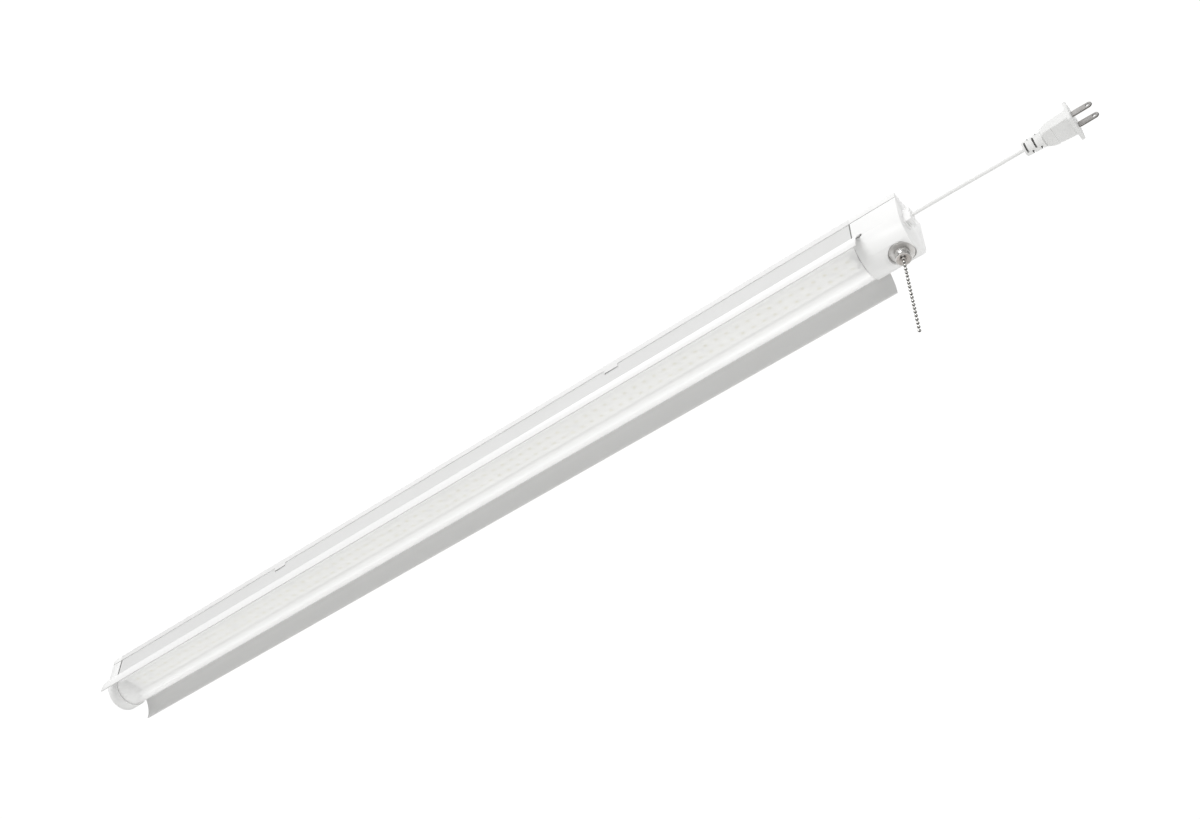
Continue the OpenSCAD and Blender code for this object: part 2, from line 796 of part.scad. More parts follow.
// Threaded bushing that clamps the switch to the cap's pad
module switch_bushing() {
    color("silver") translate([chain_x, 0, 0]) difference() {
        translate([0, 0, bushing_low]) cylinder(h = case_z - bushing_low, r = bushing_r);
        translate([0, 0, bushing_low - 1]) cylinder(h = case_z - bushing_low + 2,
            r = bushing_bore_r);
        // flared lower end of the bore
        translate([0, 0, bushing_low - 0.01]) cylinder(h = 2.4, r1 = bushing_bore_r + 1.2,
            r2 = bushing_bore_r);
    }
}

module switch_flange() {
    color("gray") translate([chain_x, 0, 0]) rotate_extrude() {
        seat_r = nut_r + 0.7;
        // flat seat for the nut, a shallow ring round it and a rolled edge
        translate([0, pad_z]) polygon([
            [bushing_r + fit_gap, 0],
            [flange_r, 0],
            [flange_r, -0.5],
            [flange_r - 0.5, -flange_t],
            [flange_r - 1.4, -flange_t],
            [flange_r - 2, -flange_t + 0.4],
            [seat_r + 0.4, -flange_t + 0.4],
            [seat_r, -flange_t],
            [bushing_r + fit_gap, -flange_t]]);
    }
}

knurls = 24;

module ring_nut() {
    color("silver") translate([chain_x, 0, bell_top]) difference() {
        cylinder(h = nut_h, r = nut_r);
        translate([0, 0, -1]) cylinder(h = nut_h + 2, r = bushing_r + axle_gap);
        for (i = [0 : knurls - 1]) rotate(i * 360 / knurls)
            translate([nut_r + 0.15, 0, -1]) cylinder(h = nut_h + 2, r = 0.5, $fn = 6);
    }
}

// Bell mouth: screwed on below the nut, necked in the middle and flared to its rim
module bell_mouth() {
    color("silver") translate([chain_x, 0, bell_top]) rotate_extrude() polygon([
        [bushing_r + axle_gap, 0],
        [bell_r - 0.6, 0],
        [bell_r - 0.6, -1.2],
        [bell_r - 1.2, -2.2],
        [bell_r - 1.0, -4],
        [bell_r, -5.4],
        [bell_r, -bell_h],
        [bell_r - 0.9, -bell_h],
        [bell_r - 1.5, -5.6],
        [bushing_r - 1.0, -3.4],
        [bushing_r - 1.0, -2.6],
        [bushing_r + axle_gap, -2.5]]);
}

// ---- Pull chain ----

module bead_row(z0, n, first_link, last_link) {
    color("silver") translate([chain_x, 0, 0]) {
        for (i = [0 : n - 1]) translate([0, 0, z0 - i * bead_pitch]) sphere(r = bead_r, $fn = 32);
        low = z0 - (n - 1) * bead_pitch - last_link;
        translate([0, 0, low]) cylinder(h = z0 + first_link - low, r = link_r, $fn = 16);
    }
}

// Lead inside the switch and the bushing: a rod with two beads
module chain_lead() {
    bead_row(first_bead + 2 * bead_pitch, 2, 2, 0);
    color("silver") translate([chain_x, 0, first_bead + 2 * bead_pitch])
        cylinder(h = axle_z - first_bead - 2 * bead_pitch + 3, r = lead_rod_r, $fn = 16);
}

module chain_upper() {
    bead_row(first_bead, beads_upper, link_free, 0);
}

module chain_lower() {
    bead_row(low_bead, beads_lower, link_free, 0);
}

// ---- Cord and plug ----

// Clamp: block outside, neck through the end wall, lip inside
module cord_clamp() {
    notch_x = 1.2;
    notch_len = 2.6;
    color("white") translate([head_x, clamp_y, clamp_mid]) difference() {
        union() {
            translate([0, -clamp_w / 2, -clamp_h / 2]) cube([clamp_out, clamp_w, clamp_h]);
            translate([-cap_end, -clamp_w / 2 + clamp_neck, -clamp_h / 2 + clamp_neck])
                cube([cap_end, clamp_w - 2 * clamp_neck, clamp_h - 2 * clamp_neck]);
            translate([-cap_end - clamp_lip, -clamp_w / 2, -clamp_h / 2])
                cube([clamp_lip, clamp_w, clamp_h]);
        }
        // notch under the block for a tool, behind a wall on the near side
        translate([notch_x, -clamp_w / 2 + 1.2, -clamp_h / 2 - 1])
            cube([notch_len, clamp_w, 3.5]);
        // joint between the clamp's two halves, seen on its outer face
        for (s = [-1, 1]) translate([clamp_out - 1.2, s * (clamp_w / 2 - 0.5) - 1.5,
                clamp_z - clamp_mid - 0.3])
            cube([2, 3, 0.6]);
    }
}

module cord() {
    color("white") translate([cord_x, clamp_y, clamp_z]) tube(CORD_PTS, cord_d / 2, 8);
}

relief_slots = 4;       // rings of slots along the strain relief
relief_slot_w = 1.5;
relief_core_r = 3;
relief_band = 4.6;      // half the width of a slot, across the relief

// Tapered sleeve with pairs of slots, each pair turned by a right angle from the last
module plug_relief() {
    pitch = relief_len / (relief_slots + 0.6);
    color("white") translate([plug_x, clamp_y, plug_z]) rotate([0, 90, 0]) difference() {
        cylinder(h = relief_len, r1 = relief_r, r2 = relief_wide_r);
        for (i = [0 : relief_slots - 1], s = [0, 180])
            translate([0, 0, (i + 0.5) * pitch]) rotate([0, 0, 45 + 90 * i + s])
                translate([relief_core_r, -relief_band, 0])
                    cube([relief_wide_r, 2 * relief_band, relief_slot_w]);
    }
}

// Four thin corner posts of a rounded cross-section of the plug's body, at x
module corner_posts(x, w, h, r) {
    for (y = [-1, 1], z = [-1, 1]) translate([x, y * (w / 2 - r), z * (h / 2 - r)])
        rotate([0, 90, 0]) cylinder(h = 0.4, r = r, $fn = 16);
}

// Rectangle with four rounded corners, centred, in (Y, Z)
module soft_rectangle(w, h, r) {
    square([w - 2 * r, h], center = true);
    square([w, h - 2 * r], center = true);
    for (y = [-1, 1], z = [-1, 1]) translate([y * (w / 2 - r), z * (h / 2 - r)]) circle(r = r);
}

plug_w = 21.3;          // body at the front plate
plug_h = 11.8;
plug_back_w = 14.6;     // body at the strain relief
plug_back_h = 9.2;
shoulder_x = 5.8;       // the body's rear bevel ends here
shoulder_w = 18.9;
shoulder_h = 10.6;
grip_x = 9.6;           // step that the fingers hold behind
grip_run = 4.2;
grip_drop = 1.8;
grip_w = 19.3;

module plug_body() {
    color("white") translate([plate_x - plug_len, clamp_y, plug_z]) {
        hull() {
            corner_posts(0, plug_back_w, plug_back_h, 1.5);
            corner_posts(shoulder_x - 0.4, shoulder_w, shoulder_h, 1);
        }
        hull() {
            corner_posts(shoulder_x - 0.4, shoulder_w, shoulder_h, 1);
            corner_posts(grip_x - 0.4, grip_w, plug_h, 1);
        }
        hull() {
            corner_posts(grip_x - 0.4, grip_w, plug_h - grip_drop, 1);
            corner_posts(grip_x + grip_run, grip_w + 0.5, plug_h, 1);
        }
        hull() {
            corner_posts(grip_x + grip_run, grip_w + 0.5, plug_h, 1);
            corner_posts(plug_len - 0.4, plug_w, plug_h, 1);
        }
        along_x(plug_len - 0.1, plate_t + 0.1) soft_rectangle(plate_w, plate_h, 1.5);
    }
}

module plug_blades() {
    color("silver") for (s = [-1, 1])
        translate([0, clamp_y + s * blade_gap / 2 - blade_t / 2, 0])
            along_y(0, blade_t) difference() {
                union() {
                    translate([blade_x, plug_z - blade_w / 2])
                        square([blade_len - blade_w / 2, blade_w]);
                    translate([blade_x + blade_len - blade_w / 2, plug_z])
                        circle(d = blade_w);
                }
                translate([blade_x + blade_len - 4, plug_z]) circle(d = 3.2);
            }
}

// ---- Assembly ----

channel();
top_cover();
wing_near();
wing_far();
wing_rivets();
lens();
led_board_tail();
led_board_head();
leds_tail();
leds_head();
board_screws();
board_jumper();
head_cap();
tail_cap();
cap_screws();
driver_tray();
driver_board();
driver_transformer();
driver_capacitors();
driver_chips();
driver_terminals();
mains_wires();
led_wires();
web_grommet();
switch_case();
switch_lid();
switch_axle();
switch_drum();
switch_rotor();
switch_spring();
switch_contacts();
switch_bushing();
switch_flange();
ring_nut();
bell_mouth();
chain_lead();
chain_upper();
chain_lower();
cord_clamp();
cord();
plug_relief();
plug_body();
plug_blades();
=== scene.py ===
# %% [markdown]
# # A hanging shop light
# The light is a metre-long white channel with a frosted lens between two curved reflector wings. It is seen
# from below, so the camera looks up at it. The construction model is loaded first and stays as it is. Each
# later step either gives one of its pieces a finish or lays a finer surface over it.

# %% Load the construction model
import bmesh
import bpy
import json
import numpy as np
from mathutils import Matrix, Vector


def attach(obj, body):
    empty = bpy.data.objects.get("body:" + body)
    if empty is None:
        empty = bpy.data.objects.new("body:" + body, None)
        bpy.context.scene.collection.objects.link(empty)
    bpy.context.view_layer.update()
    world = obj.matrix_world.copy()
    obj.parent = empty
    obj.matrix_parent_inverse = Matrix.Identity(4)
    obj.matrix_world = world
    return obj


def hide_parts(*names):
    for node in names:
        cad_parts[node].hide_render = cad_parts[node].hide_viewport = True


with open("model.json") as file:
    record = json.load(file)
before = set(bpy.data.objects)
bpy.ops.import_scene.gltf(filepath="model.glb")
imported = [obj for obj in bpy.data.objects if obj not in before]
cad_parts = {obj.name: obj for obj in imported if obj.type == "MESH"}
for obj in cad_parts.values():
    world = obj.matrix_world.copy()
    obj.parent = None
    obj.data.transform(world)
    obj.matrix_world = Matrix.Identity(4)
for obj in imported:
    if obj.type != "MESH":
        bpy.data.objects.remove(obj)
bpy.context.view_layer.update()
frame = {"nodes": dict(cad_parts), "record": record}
node = frame["nodes"]
MM = 0.001

# %% [markdown]
# ## Camera
# The place of the camera was worked out from the long straight edges of the light: they all meet at one
# vanishing point. It stands below the head end and looks up by 46 degrees. Its axes are written as three unit
# vectors, because they can be put straight into the object's matrix.

# %% Camera
PLACE = (0.8469, -0.8120, -1.1099)
right = Vector((0.7747, 0.6323, 0.0)).normalized()
ahead = Vector((-0.4398, 0.5388, 0.7185)).normalized()
above = right.cross(ahead).normalized()

scene = bpy.context.scene
camera = bpy.data.objects.new("camera", bpy.data.cameras.new("camera"))
scene.collection.objects.link(camera)
camera.data.lens, camera.data.sensor_width = 46.71, 36
camera.data.clip_start, camera.data.clip_end = 0.05, 60
turn = Matrix((right, above, -ahead)).transposed().to_4x4()
camera.matrix_world = Matrix.Translation(PLACE) @ turn
scene.camera = camera
scene.view_settings.view_transform = "Standard"
print("camera at", PLACE, "with a lens of", round(camera.data.lens, 2), "mm")

# %% [markdown]
# ## Tools for surfaces
# Nearly every piece of the light is either a profile carried along a line or a profile turned about an axis.
# Both are grids of points: one direction runs round the profile, the other along the path. So one function
# turns any grid into a mesh, and the pieces only have to say where the points of their grid are.

# %% Grid to faces
def grid_faces(rows, cols, closed_rows=False):
    """Quads between neighbouring rings: the corners of quad (i, j) are (i, j), (i, j+1), (i+1, j+1) and
    (i+1, j), counted ring by ring. Every ring is closed, and closed rows join the last ring to the first."""
    i = np.arange(rows if closed_rows else rows - 1)[:, None]
    j = np.arange(cols)[None, :]
    down, over = (i + 1) % rows, (j + 1) % cols
    corners = [i * cols + j, i * cols + over, down * cols + over, down * cols + j]
    return np.stack(np.broadcast_arrays(*corners), -1).reshape(-1, 4)


def end_faces(rows, cols):
    """The two polygons that close the first and the last ring; the first one runs backwards, so that both
    look outwards."""
    return [list(range(cols))[::-1], [(rows - 1) * cols + k for k in range(cols)]]


def joined(parts):
    """Several (points, faces) pairs as one pair: each part's face numbers move up by the points before it."""
    points, faces, count = [], [], 0
    for p, f in parts:
        points.append(p)
        faces += [[int(k) + count for k in face] for face in f]
        count += len(p)
    return np.concatenate(points), faces


print("a closed tube of 4 rings of 6 points has", len(grid_faces(4, 6)) + len(end_faces(4, 6)), "faces")

# %% [markdown]
# ### Mesh and object
# Every finished piece needs the same few things: a mesh in metres, smooth shading that stops at the real
# edges, a body to ride on and the construction piece that it takes the place of. Doing that by hand for each
# piece invites mistakes, so one function does it all.

# %% Faces to piece
def add_piece(name, points, faces, replaced, body, sharp=35, flip=False):
    """Puts points in millimetres and faces into a mesh in metres, shades it smooth apart from edges that
    turn by more than the sharp angle, and hands the piece to its body in place of the replaced node."""
    faces = [[int(k) for k in face] for face in faces]
    if flip:
        faces = [face[::-1] for face in faces]
    mesh = bpy.data.meshes.new(name)
    mesh.from_pydata((points * MM).tolist(), [], faces)
    mesh.shade_smooth()
    mesh.set_sharp_from_angle(angle=np.radians(sharp))
    piece = bpy.data.objects.new(name, mesh)
    scene.collection.objects.link(piece)
    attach(piece, body)
    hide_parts(replaced)
    print(name, "has", len(mesh.polygons), "faces")
    return piece


# %% [markdown]
# ## The lead
# The lead is a short, slim, round cord of soft white plastic, seen from one end to the other. It leaves a
# clamp on the head cap's end and runs nearly straight to the plug, with a slight sag. A curve object would
# do, but a tube worked out from the route's points keeps every ring square to the route. Its last 4 mm lie
# inside the plug's strain relief.

# %% Route of the lead
CORD_EXIT = np.array([540.5, -9.0, -24.5])
ROUTE = CORD_EXIT + np.array([
    [0, 0, 0], [6, 0, 0], [14, 0, 0], [22, 0, -0.1], [30, 0, -0.2], [38, 0, -0.3], [46, 0, -0.5],
    [54, 0, -0.7], [62, 0, -0.9], [70, 0, -1.1], [78, 0, -1.3], [86, 0, -1.4], [94, 0, -1.5],
    [102, 0, -1.5], [108, 0, -1.5], [112, 0, -1.5]])


def smooth_route(points, steps=4):
    """A smooth line through all points: between two of them it is the cubic whose slopes there are half
    the difference of the neighbours on either side."""
    ends = np.concatenate([points[:1] * 2 - points[1:2], points, points[-1:] * 2 - points[-2:-1]])
    a, b, c, d = ends[:-3, None], ends[1:-2, None], ends[2:-1, None], ends[3:, None]
    t = np.linspace(0, 1, steps, endpoint=False)[None, :, None]
    line = 0.5 * (2 * b + (c - a) * t + (2 * a - 5 * b + 4 * c - d) * t ** 2
                  + (3 * b - a - 3 * c + d) * t ** 3)
    return np.concatenate([line.reshape(-1, 3), points[-1:]])


lead_line = smooth_route(ROUTE)

# %% Lead
def tube(path, radius, sides):
    """Rings about a path: each is square to the path's direction, which is the difference of the points
    on either side, and its two side vectors come from that direction and straight up."""
    forward = np.gradient(path, axis=0)
    forward /= np.linalg.norm(forward, axis=1, keepdims=True)
    beside = np.cross(forward, [0, 0, 1.0])
    beside /= np.linalg.norm(beside, axis=1, keepdims=True)
    upward = np.cross(beside, forward)
    angle = np.arange(sides) * 2 * np.pi / sides
    rings = path[:, None] + radius * (np.cos(angle)[None, :, None] * beside[:, None]
                                      + np.sin(angle)[None, :, None] * upward[:, None])
    rows, cols = rings.shape[:2]
    faces = [*grid_faces(rows, cols), *end_faces(rows, cols)]
    return rings.reshape(-1, 3), [face[::-1] for face in faces]


lead = add_piece("lead_skin", *tube(lead_line, radius=1.6, sides=20), "cord", "housing")

# %% [markdown]
# ## Strain relief
# The strain relief is a tapered sleeve of the same soft plastic, cut by four slots so that it can bend. The
# slots could be cut with a Boolean, but their walls are square to the axis, so the sleeve can be one grid
# whose radius drops to the core inside each slot. Each slot is turned by a right angle from the last.

# %% Strain relief
PLUG_Y, PLUG_Z = -9.0, -26.0
RELIEF_X, BODY_X, PLATE_X, PLATE_DEEP = 648.5, 666.0, 692.0, 3.0


def slotted_sleeve(length=17.5, r_back=6.4, r_front=7.3, core=3.1, slots=4, width=1.5, band=4.6, sides=120):
    """Radius at (x, angle): a straight taper with a rounded back edge, but the core's radius inside a slot.
    Slot i covers its own width of x and is open where radius * |sin(angle - turn_i)| is less than the
    band. The x values stand close together at both walls of each slot, which makes the walls steep."""
    wall, lip, front, nudge = 0.04, 0.45, 0.3, 0.02
    pitch = length / (slots + 0.6)
    starts = (np.arange(slots) + 0.5) * pitch
    edges = np.concatenate([starts - wall, starts + wall, starts + width - wall, starts + width + wall])
    x = np.sort(np.concatenate([[0, 0.12, lip, length - front, length], edges, starts + width / 2]))
    angle = np.arange(sides) * 2 * np.pi / sides
    outer = r_back + (r_front - r_back) * x / length - lip * np.clip(1 - x / lip, 0, 1) ** 2
    which = np.clip(np.floor(x / pitch - 0.5 + nudge), 0, slots - 1).astype(int)
    inside = (x > starts[which]) & (x < starts[which] + width)
    across = np.abs(np.sin(angle[None] - np.pi / 4 - which[:, None] * np.pi / 2)) * outer[:, None]
    r = np.where(inside[:, None] & (across < band), core, outer[:, None])
    points = np.stack([x[:, None] + 0 * r, r * np.cos(angle), r * np.sin(angle)], -1)
    return (points.reshape(-1, 3) + [RELIEF_X, PLUG_Y, PLUG_Z],
            [*grid_faces(len(x), sides), *end_faces(len(x), sides)])


relief = add_piece("relief_sleeve", *slotted_sleeve(), "plug_relief", "housing", sharp=40)

# %% [markdown]
# ## Plug body
# The plug is one moulding: a body that widens to the front, with a step to grip it by, and a front plate. Its
# cross-sections are rounded rectangles, so the body is a row of them along X, each with its own width, height
# and corner radius. That is easier to steer than a box with bevels, whose radius would be the same all along.

# %% Plug body
BODY_SECTIONS = [
    (0.0, 13.8, 8.4, 1.6), (0.35, 14.5, 9.1, 1.6), (5.5, 18.7, 10.5, 1.3), (6.1, 18.95, 10.7, 1.2),
    (9.35, 19.3, 11.75, 1.1), (9.6, 19.25, 11.5, 1.1), (9.65, 19.2, 10.1, 1.1), (9.9, 19.25, 10.1, 1.1),
    (13.5, 19.7, 11.45, 1.1), (14.2, 19.8, 11.6, 1.1), (25.5, 21.3, 11.8, 1.2), (25.9, 21.7, 12.2, 1.4),
    (26.0, 22.4, 12.9, 1.6), (26.03, 26.0, 23.0, 1.2), (26.15, 26.6, 23.6, 1.4), (26.5, 27.0, 24.0, 1.5),
    (28.5, 27.0, 24.0, 1.5), (28.85, 26.6, 23.6, 1.4), (29.0, 26.0, 23.0, 1.2)]


def rounded_section(width, height, radius, steps=6):
    """A rectangle with each corner replaced by an arc: the arc touches both sides at the distance
    radius / tan(half the corner's angle) and its centre lies on the corner's bisector."""
    corners = np.array([[width, -height], [width, height], [-width, height], [-width, -height]]) / 2
    arcs = []
    for k, p in enumerate(corners):
        a, b = corners[k - 1] - p, corners[(k + 1) % len(corners)] - p
        a, b = a / np.linalg.norm(a), b / np.linalg.norm(b)
        half = np.arccos(np.clip(a @ b, -1, 1)) / 2
        start, end = p + a * radius / np.tan(half), p + b * radius / np.tan(half)
        centre = p + (a + b) / np.linalg.norm(a + b) * radius / np.sin(half)
        t, sweep = np.linspace(0, 1, steps + 1)[:, None], np.pi - 2 * half
        arc = np.sin((1 - t) * sweep) * (start - centre) + np.sin(t * sweep) * (end - centre)
        arcs.append(centre + arc / np.sin(sweep))
    return np.concatenate(arcs)


def lofted(sections):
    """Rings of equal count: ring i is section i at its own x. Sections are (x, width, height, radius)."""
    outlines = [(x, rounded_section(width, height, radius)) for x, width, height, radius in sections]
    rings = np.stack([np.column_stack([np.full(len(outline), x), outline]) for x, outline in outlines])
    rows, cols = rings.shape[:2]
    return (rings.reshape(-1, 3) + [BODY_X, PLUG_Y, PLUG_Z],
            [*grid_faces(rows, cols), *end_faces(rows, cols)])


plug = add_piece("plug_moulding", *lofted(BODY_SECTIONS), "plug_body", "housing")

# %% [markdown]
# ## Blades
# Each blade is a flat strip with a rounded tip and a hole. It is a band between two loops, the outline and
# the hole, so its grid runs round once, over both faces and through both edges, with small chamfers.

# %% Plug blades
BLADE_SIDES, BLADE_LOOPS, BLADE_GAP = 96, 8, 12.7


def blade(side, length=18.0, width=6.35, thick=1.5, hole=1.6, chamfer=0.3, rim=0.2, reach=4.0):
    """Point k of the outline lies at angle k round the hole's centre. Its distance is half the width over
    the sine on the straight sides, reaches the round end at the tip and the end line at the root. Each
    loop is a pair of a distance and a level: the outline, a chamfer in from it, the hole's mouth, its bore."""
    angle = np.arange(BLADE_SIDES) * 2 * np.pi / BLADE_SIDES
    c, s = np.cos(angle), np.sin(angle)
    half, root = width / 2, length - reach
    sides, back = half / np.maximum(np.abs(s), 1e-6), root / np.maximum(-c, 1e-6)
    shift = reach - half
    tip = shift * c + np.sqrt(np.maximum(half ** 2 - (shift * s) ** 2, 0))
    front = np.minimum(np.where(sides * c > shift, tip, sides), sides)
    outline = np.where(c > 0, front, np.minimum(sides, back))
    low, high = -thick / 2, thick / 2
    bore, mouth = hole + 0 * angle, hole + rim + 0 * angle
    loops = [(outline, low + chamfer), (outline - chamfer, low), (mouth, low), (bore, low + rim),
             (bore, high - rim), (mouth, high), (outline - chamfer, high), (outline, high - chamfer)]
    rings = np.stack([np.stack([r * c, level + 0 * c, r * s], -1) for r, level in loops])
    centre = [PLATE_X + PLATE_DEEP + root, PLUG_Y + side * BLADE_GAP / 2, PLUG_Z]
    return rings.reshape(-1, 3) + centre, grid_faces(BLADE_LOOPS, BLADE_SIDES, closed_rows=True)


blades = add_piece("blade_pair", *joined([blade(-1), blade(1)]), "plug_blades", "housing")

# %% [markdown]
# ## A profile along the light
# The wings and the lens have one cross-section all along. Blender's curves can carry a profile too, but they
# cut its ends off sharp. Here the rings are worked out instead, and the last few at each end are set in a
# little, which rounds the end's edge as a real edge is.

# %% Profile along X
def inset(outline, depth):
    """The outline moved inwards: each point goes along the mean of its two side normals, lengthened so
    that both sides move by the same depth."""
    before, after = np.roll(outline, 1, 0), np.roll(outline, -1, 0)
    u, v = outline - before, after - outline
    u, v = (w / np.maximum(np.linalg.norm(w, axis=1, keepdims=True), 1e-9) for w in (u, v))
    left_u, left_v = np.stack([-u[:, 1], u[:, 0]], 1), np.stack([-v[:, 1], v[:, 0]], 1)
    mean = left_u + left_v
    turn = np.sign(np.sum(outline[:, 0] * after[:, 1] - after[:, 0] * outline[:, 1]))
    return outline + turn * depth * mean / np.maximum(np.sum(mean * left_u, 1, keepdims=True), 0.5)


def bar_along_x(outline, x0, x1, soft, steps, stations=2):
    """A closed (Y, Z) outline carried from x0 to x1. For a from 0 to a right angle, the rings at each end
    are set in by soft * (1 - sin a) and stand soft * (1 - cos a) away from the end."""
    a = np.linspace(0, np.pi / 2, steps + 1)
    depth, along = soft - soft * np.sin(a), soft - soft * np.cos(a)
    middle = np.linspace(x0 + soft, x1 - soft, stations + 2)[1:-1]
    xs = np.concatenate([x0 + along, middle, (x1 - along)[::-1]])
    depths = np.concatenate([depth, np.zeros(stations), depth[::-1]])
    rings = np.stack([np.column_stack([np.full(len(outline), x), inset(outline, d)])
                      for x, d in zip(xs, depths)])
    rows, cols = rings.shape[:2]
    return rings.reshape(-1, 3), [*grid_faces(rows, cols), *end_faces(rows, cols)]


square = np.array([[0.0, 0.0], [4.0, 0.0], [4.0, 4.0], [0.0, 4.0]])
print("a square of 4 mm, set in by 0.5 mm, starts at", inset(square, 0.5)[0].tolist())

# %% [markdown]
# ## Reflector wings
# Each wing is rolled from sheet steel: it starts under the channel's edge, sweeps outwards in one arc, and
# stands upright at the lip, where the sheet is folded back into a hem. The arc is drawn as a closed outline,
# the outer face down and the inner face back up, and carried along the whole length. Its ends tuck a few
# millimetres into the caps, past their rims.

# %% Wing outline
RIM_TAIL, RIM_HEAD = -519.5, 487.0
TUCK_TAIL, TUCK_HEAD = 4.9, 7.4
WING_R, WING_Y, LOW_Z, SHEET = 33.307, 1.193, -55.0, 1.0
ROOT_Y, INNER_ROOT_Y, HEM_TOP, LIP = 22.5, 21.9, 1.9, [34.5, -54.5]
ARC_STEPS, STATIONS, END_STEPS = 30, 60, 2
HEM = np.array([[34.44, -54.75], [34.2, -55.0], [33.4, -55.0], [33.15, -54.8], [33.08, -54.4],
                [33.08, -53.6], [33.2, -53.35], [33.5, -53.2]])


def wing_outline():
    """Outer arc: centre + R * (cos a, sin a) from the root's angle down to level at the lip. The hem is a
    small roll inside the lip, and the inner arc at R less the sheet's thickness runs back up."""
    root = np.arccos((ROOT_Y - WING_Y) / WING_R)
    a = np.linspace(root, 0.0, ARC_STEPS)[:, None]
    outer = np.hstack([WING_Y + WING_R * np.cos(a), LOW_Z + WING_R * np.sin(a)])
    outer[-1] = LIP
    inner_r = WING_R - SHEET
    inner_root = np.arccos((INNER_ROOT_Y - WING_Y) / inner_r)
    b = np.linspace(np.arcsin(HEM_TOP / inner_r), inner_root, ARC_STEPS)[:, None]
    inner = np.hstack([WING_Y + inner_r * np.cos(b), LOW_Z + inner_r * np.sin(b)])
    return np.concatenate([outer, HEM, inner])


print("a wing's outline has", len(wing_outline()), "points")

# %% Wings
TAB = np.array([[13.0, -29.35], [13.0, -31.9], [16.2, -31.9], [16.2, -30.9], [14.0, -30.9], [14.0, -29.4],
                [14.0, -28.4], [13.0, -28.4]])
STRIP = np.array([[14.0, -29.4], [21.1, -29.4], [21.1, -28.42], [14.0, -28.42]])


def wing(side):
    """The arc bar, the tab that is turned into the lens's groove and the strip that carries both; Y is
    multiplied by the side, which mirrors the near wing."""
    arc = bar_along_x(wing_outline(), RIM_TAIL - TUCK_TAIL, RIM_HEAD + TUCK_HEAD, soft=0.2,
                      steps=END_STEPS, stations=STATIONS)
    root = [bar_along_x(outline, RIM_TAIL, RIM_HEAD, soft=0.05, steps=1) for outline in (TAB, STRIP)]
    points, faces = joined([arc, *root])
    return points * [1, side, 1], faces


def wing_insides(piece):
    """1 for the faces of the arc bar's hem and inner arc. A ring of that bar has the outer arc's points
    first, then the hem's, then the inner arc's, and the bar's faces come first in the piece."""
    ring, rings = 2 * ARC_STEPS + len(HEM), STATIONS + 2 * (END_STEPS + 1)
    k = np.arange(len(piece.data.polygons))
    return (k < (rings - 1) * ring) & (k % ring > ARC_STEPS) & (k % ring < ring - 1)


wing_far = add_piece("wing_far_sheet", *wing(1), "wing_far", "housing")
wing_near = add_piece("wing_near_sheet", *wing(-1), "wing_near", "housing", flip=True)
for piece in (wing_far, wing_near):
    print(piece.name, "has", int(wing_insides(piece).sum()), "faces on its inside")

# %% [markdown]
# ## Lens
# The lens is an extruded trough of frosted plastic, half round below with short straight sides, and a flange
# along each side that slides into the wings' grooves. Its outline is closed: outside down and round, then the
# inside back.

# %% Lens
LENS_R, LENS_WALL, ARC_Z, LENS_TUCK = 20.9, 1.2, -32.5, 6.0
FLANGE = [[-20.9, -29.75], [-20.7, -29.55], [-14.2, -29.55], [-14.2, -30.75], [-19.7, -30.75]]


def lens_outline(steps=48):
    """Half circles of the outer radius and of that less the wall, about the same centre, joined by a
    flange that is turned inwards at the top of each side."""
    a = np.linspace(0, -np.pi, steps)[:, None]
    outer, inner = (np.hstack([r * np.cos(a), ARC_Z + r * np.sin(a)]) for r in (LENS_R, LENS_R - LENS_WALL))
    other_flange = [[-y, z] for y, z in FLANGE[::-1]]
    return np.concatenate([outer, FLANGE, inner[::-1], other_flange])


trough = bar_along_x(lens_outline(), RIM_TAIL - LENS_TUCK, RIM_HEAD + LENS_TUCK, soft=0.15,
                     steps=END_STEPS, stations=STATIONS)
lens = add_piece("lens_trough", *trough, "lens", "housing")

# %% [markdown]
# ## Lamps
# Two rows of small lamps sit on each board, a lamp every 12 mm. Each is a white package with a slightly
# sunken yellow window. One lamp is five small rings of eight points, and all the others are the same points
# moved, which one addition of two arrays does. The innermost band and the window's floor are yellow.

# %% Lamps
LAMPS = 41
CORNERS = np.array([[1, -.6], [1, .6], [.6, 1], [-.6, 1], [-1, .6], [-1, -.6], [-.6, -1], [.6, -1]])
LAMP_RINGS = [(1.75, 1.4, 0.0), (1.72, 1.37, 0.62), (1.66, 1.31, 0.7), (1.56, 1.21, 0.7), (1.48, 1.13, 0.58)]


def lamp_rows(start, pitch=12.0, gap=9.4, board_low=-30.0):
    """Ring k of a lamp is a clipped rectangle of its own half-sizes and depth; lamp (i, row) adds
    start + (i + 0.5) * pitch along X and half the gap, to either side, along Y."""
    rings = np.concatenate([np.column_stack([CORNERS * [w, h], np.full(len(CORNERS), board_low - d)])
                            for w, h, d in LAMP_RINGS])
    i, row = np.meshgrid(np.arange(LAMPS), [-0.5, 0.5], indexing="ij")
    places = np.stack([start + (i + 0.5) * pitch, row * gap, 0 * row], -1).reshape(-1, 1, 3)
    window = list(range(len(rings)))[-len(CORNERS):]
    one = [*grid_faces(len(LAMP_RINGS), len(CORNERS))[:, ::-1].tolist(), window[::-1]]
    faces = [[v + len(rings) * n for v in face] for n in range(2 * LAMPS) for face in one]
    return (places + rings).reshape(-1, 3), faces


def lamp_windows(piece):
    """1 for the last band of faces of each lamp and for its window: a lamp has a band less than it has
    rings, and then one face for the window's floor."""
    bands = len(LAMP_RINGS) - 1
    lamp_faces = bands * len(CORNERS) + 1
    return np.arange(len(piece.data.polygons)) % lamp_faces >= (bands - 1) * len(CORNERS)


